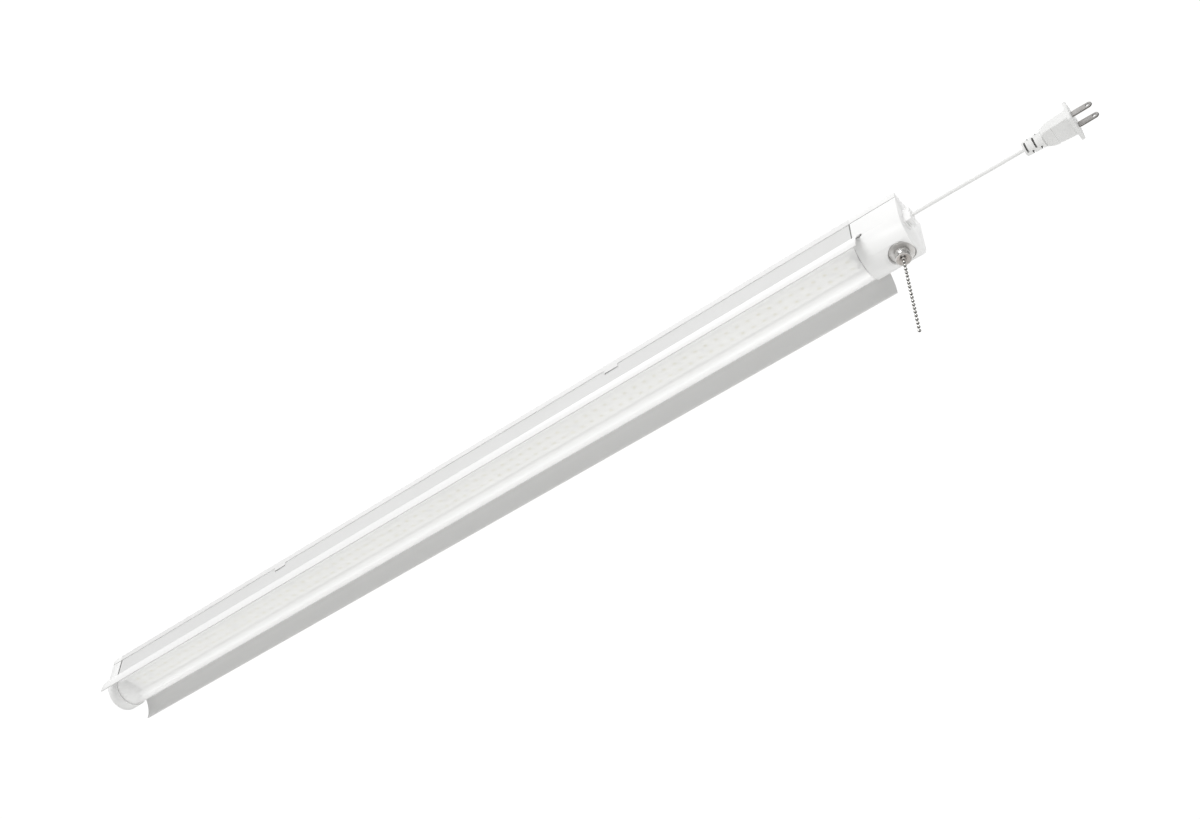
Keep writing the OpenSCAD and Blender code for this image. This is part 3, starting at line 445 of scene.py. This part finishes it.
lamps = [add_piece("leds_tail_packages", *lamp_rows(start=-508.55), "leds_tail", "housing", sharp=30),
         add_piece("leds_head_packages", *lamp_rows(start=-15.95), "leds_head", "housing", sharp=30)]
print("lamps on each board:", 2 * LAMPS)

# %% [markdown]
# ## Switch fittings
# A thin dished flange covers the switch's hole in the head cap, a knurled ring nut holds the switch, and a
# flared bell mouth hangs below it and lets the chain leave at any angle. All three are round, so they are
# made here as on a lathe: a profile of radius and height, carried round the axis. Only the nut's knurl needs
# its radius to change on the way round.

# %% Flange
CHAIN_X, PAD_Z, FLANGE_DEEP, NUT_DEEP = 520.0, -51.469, 1.0, 3.0


def turned(profile, centre, sides, closed=True):
    """A (radius, height) profile turned about an upright axis through the centre: point (i, k) lies at
    radius_i * (cos k, sin k) beside the axis and at height_i along it."""
    angle = np.arange(sides) * 2 * np.pi / sides
    r, h = profile[:, :1], profile[:, 1:]
    points = np.stack([r * np.cos(angle), r * np.sin(angle), h + 0 * angle], -1).reshape(-1, 3)
    faces = [*grid_faces(len(profile), sides, closed_rows=closed)]
    if not closed:
        faces += end_faces(len(profile), sides)
    return points + centre, faces


flange_profile = np.array([[4.9, 0.0], [12.1, 0.0], [12.1, -0.2], [12.0, -0.45], [11.75, -0.66],
                           [11.3, -0.82], [10.4, -0.92], [9.2, -0.97], [7.6, -1.0], [4.9, -1.0]])
flange = add_piece("switch_flange_dish", *turned(flange_profile[::-1], (CHAIN_X, 0, PAD_Z), sides=72),
                   "switch_flange", "housing")

# %% Knurled nut
def knurled_nut(sides=192, teeth=24, groove=0.35):
    """The radius less a smooth dip for each tooth: the dip follows the fourth power of a cosine, so the
    grooves are narrow. Rows are (radius, height, share of the dip), and the dips fade at both chamfers."""
    angle = np.arange(sides) * 2 * np.pi / sides
    dip = groove * np.cos(angle * teeth / 2) ** 4
    rows = [(4.8, 0.0, 0), (6.3, 0.0, 0), (6.75, -0.2, 0.8), (6.9, -0.45, 1), (6.9, -2.55, 1),
            (6.75, -2.8, 0.8), (6.3, -NUT_DEEP, 0), (4.8, -NUT_DEEP, 0)]
    r = np.array([radius - share * dip for radius, height, share in rows])
    z = np.array([height + 0 * angle for radius, height, share in rows])
    points = np.stack([r * np.cos(angle), r * np.sin(angle), z], -1).reshape(-1, 3)
    return points + [CHAIN_X, 0, PAD_Z - FLANGE_DEEP], grid_faces(len(rows), sides, True)[:, ::-1]


nut = add_piece("knurled_nut", *knurled_nut(), "ring_nut", "housing", sharp=50)

# %% Bell mouth
BELL_SIDES = 64
bell_profile = np.array([[4.8, 0.0], [6.2, 0.0], [6.4, -0.2], [6.4, -1.1], [6.2, -1.5], [5.85, -2.0],
                         [5.75, -2.6], [5.85, -3.5], [6.2, -4.4], [6.75, -5.2], [7.0, -5.7], [7.0, -6.15],
                         [6.8, -6.4], [6.55, -6.35], [6.3, -6.15], [5.2, -5.4], [3.95, -4.7], [3.2, -4.1],
                         [2.65, -3.3], [2.45, -2.7], [2.6, -2.5], [4.8, -2.5]])
bell_top = (CHAIN_X, 0, PAD_Z - (FLANGE_DEEP + NUT_DEEP))
bell = add_piece("bell_mouth_turned", *turned(bell_profile[::-1], bell_top, BELL_SIDES), "bell_mouth",
                 "housing")

# %% [markdown]
# ## Ball chain
# The chain is made of hollow balls on short links. Placing a sphere for each ball would work, but the chain
# is a turned profile as well: its radius swells to a ball and shrinks to the link between two balls. It is
# two pieces, because its lower half swings on the upper one.

# %% Ball chain
BALL, PITCH, FIRST, HEAD, LINK, CUT, SHOULDER = 1.6, 4.67, -60.369, 2.77, 0.45, 0.62, 0.05
TIP = np.array([[0.12, 0.0], [0.38, -0.05], [LINK, -0.2]])


def chain_profile(first, count, ball_steps=11):
    """Radius against height: every ball is the root of (ball radius squared less height squared), cut off
    where that falls to the cut radius, and a thin link joins it to the next one. The top link reaches up
    by the head's length to a rounded tip, and the last ball ends in a small flat."""
    mouth = np.sqrt(BALL ** 2 - CUT ** 2)
    a = np.linspace(-np.arcsin(mouth / BALL), np.arcsin(mouth / BALL), ball_steps)
    ball = np.stack([BALL * np.cos(a), BALL * np.sin(a)], 1)[::-1]
    rows = [TIP + [0, first + HEAD]]
    for k in range(count):
        z = first - k * PITCH
        below = [LINK, z - mouth - SHOULDER] if k < count - 1 else [0.3, z - mouth - 0.06]
        rows += [[[LINK, z + mouth + SHOULDER]], ball + [0, z], [below]]
    return np.concatenate(rows)


UPPER, LOWER = 11, 10
chains = []
for name, replaced, body, first, count in (
        ("chain_upper_balls", "chain_upper", "upper_chain", FIRST, UPPER),
        ("chain_lower_balls", "chain_lower", "lower_chain", FIRST - UPPER * PITCH, LOWER)):
    profile = chain_profile(first, count)
    chains.append(add_piece(name, *turned(profile, (CHAIN_X, 0, 0), sides=20, closed=False), replaced, body,
                            sharp=50, flip=True))

# %% [markdown]
# ## Caps, clamp and cover
# The end caps and the cord clamp are moulded, so no edge of them is sharp, and the folded cover has small
# bends. The construction pieces already have the right form, so each is copied, its loose triangles are
# merged, its flat faces are joined into one, and a narrow bevel runs along every edge.

# %% Softened copies
def soft_copy(name, width, angle=40, segments=2, merge=0.00001, flat=0.5):
    """A merged copy of a construction piece with a bevel of the given width in millimetres along every
    edge that turns by more than the angle. Neighbours that turn by less than flat become one face."""
    mesh = node[name].data.copy()
    mesh.name = "soft_" + name
    work = bmesh.new()
    work.from_mesh(mesh)
    bmesh.ops.remove_doubles(work, verts=work.verts, dist=merge)
    bmesh.ops.dissolve_limit(work, angle_limit=np.radians(flat), verts=work.verts, edges=work.edges)
    work.to_mesh(mesh)
    work.free()
    mesh.materials.clear()
    mesh.shade_smooth()
    piece = bpy.data.objects.new("soft_" + name, mesh)
    scene.collection.objects.link(piece)
    bevel = piece.modifiers.new("soft_edges", "BEVEL")
    bevel.width, bevel.segments, bevel.limit_method = width * MM, segments, "ANGLE"
    bevel.angle_limit, bevel.harden_normals = np.radians(angle), True
    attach(piece, "housing")
    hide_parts(name)
    print(piece.name, "has", len(mesh.vertices), "points")
    return piece


caps = [soft_copy("head_cap", 0.14), soft_copy("tail_cap", 0.14)]
clamp, cover = soft_copy("cord_clamp", 0.4), soft_copy("top_cover", 0.15)

# %% [markdown]
# ## Finishes
# Most of the light is white, but each white is a different finish: powder coat, enamel, frosted plastic,
# fine moulded texture. All of them share two effects, an uneven tone and a fine grain. A third one, a painted
# shadow line where the caps' rims stand on a piece, is shared by the channel and the lens. Each effect is a
# node group with its own inputs, placed in a material with that material's numbers.

# %% Tools for node groups
COLOUR, NUMBER, VECTOR = "NodeSocketColor", "NodeSocketFloat", "NodeSocketVector"


def new_group(name, inputs, outputs):
    """An empty node group with named sockets; returns the group, its input node and its output node."""
    group = bpy.data.node_groups.new(name, "ShaderNodeTree")
    for label, kind, value in inputs:
        group.interface.new_socket(label, in_out="INPUT", socket_type=kind).default_value = value
    for label, kind in outputs:
        group.interface.new_socket(label, in_out="OUTPUT", socket_type=kind)
    return group, group.nodes.new("NodeGroupInput"), group.nodes.new("NodeGroupOutput")


def stretched_noise(group, given, detail):
    """Noise on Object coordinates, each axis first multiplied by the group's own stretch."""
    place = group.nodes.new("ShaderNodeTexCoord")
    scale = group.nodes.new("ShaderNodeVectorMath")
    scale.operation = "MULTIPLY"
    noise = group.nodes.new("ShaderNodeTexNoise")
    noise.inputs["Detail"].default_value = detail
    group.links.new(place.outputs["Object"], scale.inputs[0])
    group.links.new(given.outputs["Stretch"], scale.inputs[1])
    group.links.new(scale.outputs[0], noise.inputs["Vector"])
    group.links.new(given.outputs["Size"], noise.inputs["Scale"])
    return noise.outputs["Fac"]


def mixed(group, share, first, second):
    """The first colour times (1 - share) plus the second times the share. The sockets are found by their
    place, because the node's number and vector sockets have the same names as its colour ones."""
    mix = group.nodes.new("ShaderNodeMix")
    mix.data_type = "RGBA"
    group.links.new(share, mix.inputs[0])
    group.links.new(first, mix.inputs[6])
    group.links.new(second, mix.inputs[7])
    return mix.outputs[2]


# %% Uneven tone and fine grain
tone, given, gives = new_group("uneven_tone", [
    ("Light", COLOUR, (0.9, 0.9, 0.9, 1)), ("Dark", COLOUR, (0.8, 0.8, 0.8, 1)), ("Size", NUMBER, 20.0),
    ("Stretch", VECTOR, (1, 1, 1)), ("Roughness", NUMBER, 0.5), ("Spread", NUMBER, 0.1)],
    [("Color", COLOUR), ("Roughness", NUMBER)])
contrast = tone.nodes.new("ShaderNodeMapRange")
contrast.inputs["From Min"].default_value, contrast.inputs["From Max"].default_value = 0.3, 0.7
tone.links.new(stretched_noise(tone, given, 4.0), contrast.inputs["Value"])
share = contrast.outputs[0]
tone.links.new(mixed(tone, share, given.outputs["Light"], given.outputs["Dark"]), gives.inputs["Color"])
rough = tone.nodes.new("ShaderNodeMath")
rough.operation = "MULTIPLY_ADD"
for socket, source in enumerate((share, given.outputs["Spread"], given.outputs["Roughness"])):
    tone.links.new(source, rough.inputs[socket])
tone.links.new(rough.outputs[0], gives.inputs["Roughness"])

grain, given, gives = new_group("fine_grain", [("Size", NUMBER, 900.0), ("Stretch", VECTOR, (1, 1, 1))],
                                [("Height", NUMBER)])
grain.links.new(stretched_noise(grain, given, 2.0), gives.inputs["Height"])
print("groups:", tone.name, "and", grain.name)

# %% [markdown]
# ### Painted shadow at the caps' rims
# A cap's rim stands on the steel and on the lens with a hairline gap that the light hardly reaches, and its
# shadow is painted into the colour as a thin dark line. Its place is known: both rims are the same
# distance from the point midway between them. So the line is drawn where that distance is right.

# %% Painted rim shadow
# Painted shadow: the colour is darkened in a thin line at both caps' rims.
rim_shadow, given, gives = new_group("painted_rim_shadow", [
    ("Color", COLOUR, (0.9, 0.9, 0.9, 1)), ("Line", COLOUR, (0.3, 0.3, 0.3, 1)), ("Middle", NUMBER, 0.0),
    ("Reach", NUMBER, 0.5), ("Width", NUMBER, 0.001)], [("Color", COLOUR)])
place, axes = rim_shadow.nodes.new("ShaderNodeTexCoord"), rim_shadow.nodes.new("ShaderNodeSeparateXYZ")
rim_shadow.links.new(place.outputs["Object"], axes.inputs[0])
distance = axes.outputs["X"]
for operation, socket in (("SUBTRACT", "Middle"), ("ABSOLUTE", None), ("SUBTRACT", "Reach"), ("ABSOLUTE", None),
                          ("DIVIDE", "Width")):
    step = rim_shadow.nodes.new("ShaderNodeMath")
    step.operation = operation
    rim_shadow.links.new(distance, step.inputs[0])
    if socket:
        rim_shadow.links.new(given.outputs[socket], step.inputs[1])
    distance = step.outputs[0]
fade = rim_shadow.nodes.new("ShaderNodeMapRange")
fade.interpolation_type = "SMOOTHSTEP"
for socket, number in (("From Min", 0.6), ("From Max", 1.0), ("To Min", 1.0), ("To Max", 0.0)):
    fade.inputs[socket].default_value = number
rim_shadow.links.new(distance, fade.inputs["Value"])
lined = mixed(rim_shadow, fade.outputs[0], given.outputs["Color"], given.outputs["Line"])
rim_shadow.links.new(lined, gives.inputs["Color"])
print("group:", rim_shadow.name, "with", len(rim_shadow.nodes), "nodes")

# %% [markdown]
# ### A material from the groups
# All finishes are built alike, so one function makes them and each finish is only a row of numbers: two
# tones, their size and stretch, the roughness and its spread, the grain, and whatever else is its own.

# %% Finish
def finish(name, light, dark, size=18.0, stretch=(1, 1, 1), roughness=0.45, spread=0.1, grain_size=900.0,
           grain_stretch=(1, 1, 1), grain_depth=0.00005, grain_strength=0.3, **own):
    """A material: the uneven tone drives colour and roughness, the fine grain drives the bump, and what
    is the same all over goes straight onto the shader's own sockets."""
    material = bpy.data.materials.new(name)
    material.use_nodes = True
    nodes, links = material.node_tree.nodes, material.node_tree.links
    shader = nodes["Principled BSDF"]
    base, fine, bump = nodes.new("ShaderNodeGroup"), nodes.new("ShaderNodeGroup"), nodes.new("ShaderNodeBump")
    base.node_tree, fine.node_tree = tone, grain
    base.inputs["Light"].default_value, base.inputs["Dark"].default_value = (*light, 1), (*dark, 1)
    base.inputs["Size"].default_value, base.inputs["Stretch"].default_value = size, stretch
    base.inputs["Roughness"].default_value, base.inputs["Spread"].default_value = roughness, spread
    fine.inputs["Size"].default_value, fine.inputs["Stretch"].default_value = grain_size, grain_stretch
    bump.inputs["Distance"].default_value, bump.inputs["Strength"].default_value = grain_depth, grain_strength
    links.new(base.outputs["Color"], shader.inputs["Base Color"])
    links.new(base.outputs["Roughness"], shader.inputs["Roughness"])
    links.new(fine.outputs["Height"], bump.inputs["Height"])
    links.new(bump.outputs["Normal"], shader.inputs["Normal"])
    for socket, value in own.items():
        shader.inputs[socket.replace("_", " ")].default_value = value
    return material


def add_painted_rim_shadow(material, line, width, inner):
    """Puts the painted rim shadow between the tone and the shader: it lies where the distance from the middle
    of the two rims is half the distance between them, less inner. Width and inner are in millimetres."""
    nodes, links = material.node_tree.nodes, material.node_tree.links
    shader, rim_shadow_node = nodes["Principled BSDF"], nodes.new("ShaderNodeGroup")
    rim_shadow_node.node_tree = rim_shadow
    rim_shadow_node.inputs["Line"].default_value = (*line, 1)
    rim_shadow_node.inputs["Middle"].default_value = (RIM_HEAD + RIM_TAIL) / 2 * MM
    rim_shadow_node.inputs["Reach"].default_value = ((RIM_HEAD - RIM_TAIL) / 2 - inner) * MM
    rim_shadow_node.inputs["Width"].default_value = width * MM
    links.new(shader.inputs["Base Color"].links[0].from_socket, rim_shadow_node.inputs["Color"])
    links.new(rim_shadow_node.outputs["Color"], shader.inputs["Base Color"])


# %% [markdown]
# ### Finishes that are seen
# The powder coat and the enamel differ in gloss, and the enamel's tone is drawn out along the sheet, as it
# is rolled. The lens lets a part of the light through, so that the lamps show as dots. Its faint glow is
# painted light: the lamp is off, and the glow only lifts the lens's tone. The nickel is a metal whose grain
# runs round the axis, as a lathe leaves it, and the cord's plastic is dull.

# %% Finishes of the outside
FINISH = {
    "white_steel": finish("powder_coat", (0.865, 0.865, 0.862), (0.84, 0.84, 0.835), 14, roughness=0.42,
                          grain_size=1400, grain_depth=0.00002),
    "reflector_white": finish("wing_enamel", (0.87, 0.87, 0.867), (0.85, 0.85, 0.845), 10,
                              stretch=(0.3, 1, 1), roughness=0.3, spread=0.08, grain_size=1100,
                              grain_depth=0.00001),
    # The lens's emission is painted light: the lamp is off, and the glow only lifts the lens's tone.
    "frosted_lens": finish("frosted_lens", (0.9, 0.9, 0.9), (0.88, 0.88, 0.88), 10, stretch=(0.2, 1, 1),
                           roughness=0.34, spread=0.06, grain_size=1500, grain_stretch=(0.02, 1, 1),
                           grain_depth=0.00001, Alpha=0.4, Emission_Color=(1, 1, 0.995, 1),
                           Emission_Strength=0.3, Coat_Weight=0.5, Coat_Roughness=0.05),
    "cap_plastic": finish("moulded_caps", (0.945, 0.945, 0.942), (0.93, 0.93, 0.925), 30, roughness=0.42,
                          grain_size=2200, grain_depth=0.000012),
    "nickel": finish("satin_nickel", (0.85, 0.84, 0.825), (0.76, 0.75, 0.735), 260, roughness=0.3,
                     spread=0.12, grain_size=1800, grain_stretch=(1, 1, 4), grain_depth=0.00003,
                     Metallic=1.0),
    "blade_brass": finish("plated_blades", (0.46, 0.45, 0.44), (0.36, 0.35, 0.34), 260,
                          stretch=(0.3, 1, 1), roughness=0.42, spread=0.15, grain_size=2000,
                          grain_stretch=(0.1, 1, 1), grain_depth=0.00001, Metallic=0.85),
    "cord_white": finish("soft_white_plastic", (0.87, 0.87, 0.865), (0.845, 0.845, 0.838), 30,
                         roughness=0.5, grain_size=1600, grain_depth=0.000012),
}
print(len(FINISH), "finishes for the outside")

# %% [markdown]
# ### Finishes that are hidden
# The driver, the boards, the wires and the switch are inside, but they are seen when the light is taken
# apart, so each has a plain finish of its own. Only the lamps' phosphor shows through the lens: it is darker
# than real phosphor, because the frosted wall in front of it washes it out.

# %% Finishes of the inside
FINISH |= {
    "board_white": finish("solder_mask", (0.86, 0.86, 0.83), (0.8, 0.8, 0.76), 60, roughness=0.35),
    "led_phosphor": finish("lamp_phosphor", (0.44, 0.38, 0.02), (0.38, 0.32, 0.015), 400, roughness=0.3),
    "zinc": finish("bright_zinc", (0.7, 0.71, 0.72), (0.6, 0.61, 0.62), 300, roughness=0.3, Metallic=1.0,
                   grain_size=2600),
    "brass": finish("contact_brass", (0.8, 0.62, 0.3), (0.7, 0.5, 0.22), 300, roughness=0.28, Metallic=1.0),
    "black_plastic": finish("black_moulding", (0.05, 0.05, 0.05), (0.03, 0.03, 0.03), 60, roughness=0.5),
    "board_green": finish("green_board", (0.06, 0.28, 0.13), (0.04, 0.2, 0.09), 220, roughness=0.35),
    "copper_yellow": finish("winding_tape", (0.85, 0.68, 0.16), (0.75, 0.56, 0.1), 90, roughness=0.35),
    "wire_black": finish("wire_insulation", (0.05, 0.05, 0.05), (0.03, 0.03, 0.03), 120, roughness=0.45),
    "rubber_black": finish("grommet_rubber", (0.03, 0.03, 0.03), (0.02, 0.02, 0.02), 120, roughness=0.7),
    "phenolic": finish("moulded_phenolic", (0.3, 0.16, 0.09), (0.2, 0.1, 0.05), 180, roughness=0.4),
}
print(len(FINISH), "finishes in all, one for each slot of the record")

# %% [markdown]
# ### Which piece takes which finish
# The record gives every construction piece a slot, and the pieces that lie over them take the same slot's
# finish. Three kinds of pieces look different from their slot and have a finish of their own: the flange is
# duller than the nut, the chain's balls are polished, and the lamps' packages are white. The channel's side
# wall has a greyer coat than the cover, partly its own paint and partly painted shade of the cover and the
# near wing, with a painted shadow line at both rims.

# %% Finishes on the pieces
slot_of = {s["node"]: s["material_slot"] for s in frame["record"]["subparts"]}
for name, obj in node.items():
    obj.data.materials.clear()
    obj.data.materials.append(FINISH[slot_of[name]])
# The channel's greyer coat is partly its own paint and partly painted shade of the cover and the near wing.
channel_coat_and_painted_shade = finish("channel_coat_and_painted_shade", (0.76, 0.76, 0.757), (0.74, 0.74, 0.735), 12, roughness=0.5,
                      grain_size=1400, grain_depth=0.00002)
node["channel"].data.materials[0] = channel_coat_and_painted_shade
# Painted shadow lines where the caps' rims stand on the channel and on the lens.
add_painted_rim_shadow(channel_coat_and_painted_shade, (0.12, 0.12, 0.118), 1.1, 0.5)
add_painted_rim_shadow(FINISH["frosted_lens"], (0.16, 0.16, 0.158), 1.1, 0.4)

flange_plate = finish("flange_plate", (0.6, 0.59, 0.58), (0.52, 0.51, 0.495), 240, roughness=0.32,
                      spread=0.12, grain_size=1800, grain_depth=0.00002, Metallic=1.0)
polished = finish("polished_balls", (0.86, 0.85, 0.83), (0.7, 0.69, 0.66), 700, roughness=0.05, spread=0.06,
                  grain_size=2500, grain_depth=0.000005, Metallic=1.0)
lamp_white = finish("lamp_package", (0.88, 0.88, 0.86), (0.82, 0.82, 0.8), 300, roughness=0.35)
for material, pieces in (
        (FINISH["cord_white"], (lead, relief, plug)), (FINISH["blade_brass"], (blades,)),
        (FINISH["reflector_white"], (wing_near, wing_far)), (FINISH["frosted_lens"], (lens,)),
        (FINISH["nickel"], (nut, bell)), (FINISH["cap_plastic"], (*caps, clamp)),
        (FINISH["white_steel"], (cover,)), (flange_plate, (flange,)), (polished, chains),
        (lamp_white, lamps)):
    for piece in pieces:
        piece.data.materials.append(material)
print("the channel and the lens have the line", rim_shadow.name)

# %% [markdown]
# ### Second finishes
# Some faces of a piece look different from the rest: the bell's throat has its own colour, and painted shade
# lies where shade falls: on the wings' insides, in the lens's shade, on the blades' edges, on the chain's links
# between its balls, in the grooves of the caps and in the deep slots of the strain relief. Each piece gets a
# second material, and a mask says which of its faces take it. The masks come from the order of the faces in
# the grid, or from where the middle of a face is.

# %% Masks
GROOVE_Z, GROOVE_Y = (-7.65, -6.95), (22.05, 22.48)
SLOT_R, SLOT_X = 5.6, (0.6, 17.2)
LINK_REACH, BELL_THROAT = 0.82, (1, 6)


def second_finish(piece, material, mask):
    """Adds the material to the piece and gives it to the faces where the mask is 1."""
    piece.data.materials.append(material)
    piece.data.polygons.foreach_set("material_index", mask.astype(np.int32))
    print(piece.name, "has", int(mask.sum()), "faces in", material.name)


def middles(piece):
    """The X, Y and Z of each face's middle, in millimetres."""
    flat = np.empty(3 * len(piece.data.polygons), np.float32)
    piece.data.polygons.foreach_get("center", flat)
    return flat.reshape(-1, 3).astype(float).T / MM


def between(values, limits):
    """1 where a value is over the lower limit and under the upper one."""
    return (values > limits[0]) & (values < limits[1])


# %% Second finishes
# Painted shade: the links and the balls' mouths between the balls are dark, where shade falls.
link_painted_shade = finish("chain_links_painted_shade", (0.16, 0.155, 0.15), (0.1, 0.095, 0.09), 900, roughness=0.5, Metallic=0.6)
for chain in chains:
    x, y, z = middles(chain)
    second_finish(chain, link_painted_shade, np.hypot(x - CHAIN_X, y) < LINK_REACH)
# Painted shade in the caps' narrow parting grooves.
groove_painted_shade = finish("groove_painted_shade", (0.42, 0.42, 0.41), (0.34, 0.34, 0.33), 200, roughness=0.7)
for cap in caps:
    x, y, z = middles(cap)
    second_finish(cap, groove_painted_shade, between(z, GROOVE_Z) & between(np.abs(y), GROOVE_Y))
# Painted shade in the deep slots of the strain relief.
slot_painted_shade = finish("slot_painted_shade", (0.4, 0.4, 0.395), (0.32, 0.32, 0.315), 200, roughness=0.7)
x, y, z = middles(relief)
second_finish(relief, slot_painted_shade, (np.hypot(y - PLUG_Y, z - PLUG_Z) < SLOT_R) & between(x - RELIEF_X, SLOT_X))

# Painted shade: the wings' insides are darker than their outsides, for the shade of the lens.
inside_painted_shade = finish("wing_inside_painted_shade", (0.735, 0.735, 0.732), (0.715, 0.715, 0.71), 10, stretch=(0.3, 1, 1),
                     roughness=0.36, spread=0.08, grain_size=1100, grain_depth=0.00001)
for piece in (wing_near, wing_far):
    second_finish(piece, inside_painted_shade, wing_insides(piece))
# Painted shade on the blades' thin edges.
edge_painted_shade = finish("blade_edge_painted_shade", (0.2, 0.19, 0.18), (0.12, 0.11, 0.1), 500, roughness=0.45, spread=0.1,
                  grain_size=2400, grain_depth=0.00001, Metallic=0.8)
loop = np.arange(len(blades.data.polygons)) // BLADE_SIDES % BLADE_LOOPS
second_finish(blades, edge_painted_shade, loop == BLADE_LOOPS - 1)
bell_inside = finish("bell_inside", (0.74, 0.7, 0.67), (0.62, 0.58, 0.55), 420, roughness=0.5, spread=0.1,
                     grain_size=1800, grain_depth=0.00001, Metallic=0.4)
row = np.arange(len(bell.data.polygons)) // BELL_SIDES
second_finish(bell, bell_inside, (row >= BELL_THROAT[0]) & (row <= BELL_THROAT[1]))
for piece in lamps:
    second_finish(piece, FINISH["led_phosphor"], lamp_windows(piece))

# %% [markdown]
# ## Floor
# The background is plain white. The floor is far below, because the light hangs, and so wide that its edge
# is never near: it only sends some light back up.

# %% Floor
FLOOR_HALF, FLOOR_Z = 30.0, -2.8
mesh = bpy.data.meshes.new("floor")
mesh.from_pydata([(x * FLOOR_HALF, y * FLOOR_HALF, FLOOR_Z) for x, y in ((-1, -1), (1, -1), (1, 1), (-1, 1))],
                 [], [(0, 1, 2, 3)])
floor = bpy.data.objects.new("floor", mesh)
scene.collection.objects.link(floor)
mesh.materials.append(finish("pale_floor", (0.88, 0.88, 0.87), (0.86, 0.86, 0.85), 3, roughness=0.8))
print("floor", 2 * FLOOR_HALF, "m wide,", -FLOOR_Z, "m below the light's top")

# %% [markdown]
# ## Room
# The sky is white and even. But an all-white room would leave the nickel flat, so what mirrors see has a
# bright ceiling and dark walls. One Background node lights the pieces, one is for mirrors, and one is what
# the camera sees behind the light.

# %% World
FILL, BEHIND = 0.65, 1.05
world = bpy.data.worlds.new("studio")
scene.world = world
world.use_nodes = True
nodes, links = world.node_tree.nodes, world.node_tree.links
back = nodes["Background"]
room, seen = nodes.new("ShaderNodeBackground"), nodes.new("ShaderNodeBackground")
back.inputs["Color"].default_value, back.inputs["Strength"].default_value = (1, 1, 1, 1), FILL
seen.inputs["Color"].default_value, seen.inputs["Strength"].default_value = (1, 1, 1, 1), BEHIND
way, height, ceiling = (nodes.new("ShaderNode" + kind) for kind in ("TexCoord", "SeparateXYZ", "MapRange"))
ceiling.interpolation_type = "SMOOTHSTEP"
for socket, value in (("From Min", 0.3), ("From Max", 0.6), ("To Min", 0.04), ("To Max", 1.5)):
    ceiling.inputs[socket].default_value = value
path = nodes.new("ShaderNodeLightPath")
mirrored, both = nodes.new("ShaderNodeMixShader"), nodes.new("ShaderNodeMixShader")
links.new(way.outputs["Generated"], height.inputs[0])
links.new(height.outputs["Z"], ceiling.inputs["Value"])
links.new(ceiling.outputs[0], room.inputs["Strength"])
for mix, ray, no, yes in ((mirrored, "Is Glossy Ray", back, room), (both, "Is Camera Ray", mirrored, seen)):
    links.new(path.outputs[ray], mix.inputs[0])
    links.new(no.outputs[0], mix.inputs[1])
    links.new(yes.outputs[0], mix.inputs[2])
links.new(both.outputs[0], nodes["World Output"].inputs["Surface"])
print("world of strength", FILL, "seen at", BEHIND)

# %% [markdown]
# ## Lights
# The light falls mostly from the near side, level with the object, so the near faces are bright and the far
# wing lies in the lens's shade. Large soft lights from the head end, from behind below and from above fill
# the shadows. Area lights are used, because a large area gives the soft edges of a studio.

# %% Lights
def area_light(name, place, target, wide, tall, power):
    """A rectangular soft light whose -Z axis points from its place to the target."""
    light = bpy.data.lights.new(name, "AREA")
    light.shape, light.energy, light.size, light.size_y = "RECTANGLE", power, wide, tall
    obj = bpy.data.objects.new(name, light)
    scene.collection.objects.link(obj)
    way = Vector(target) - Vector(place)
    obj.matrix_world = Matrix.Translation(place) @ way.to_track_quat("-Z", "Y").to_matrix().to_4x4()
    print(name, "of", power, "W")
    return obj


area_light("key", (0.3, -3.0, 0.02), (0.1, 0, -0.03), 1.4, 0.5, 35.5)
area_light("head_fill", (3.0, 0.3, -0.9), (0.3, 0, 0), 2.0, 2.0, 8).visible_glossy = False
area_light("low_fill", (0.3, 2.2, -1.3), (0.1, 0, 0), 2.0, 2.0, 12)
area_light("top_fill", (0.0, 0.6, 2.6), (0, 0, 0), 2.6, 2.6, 30)
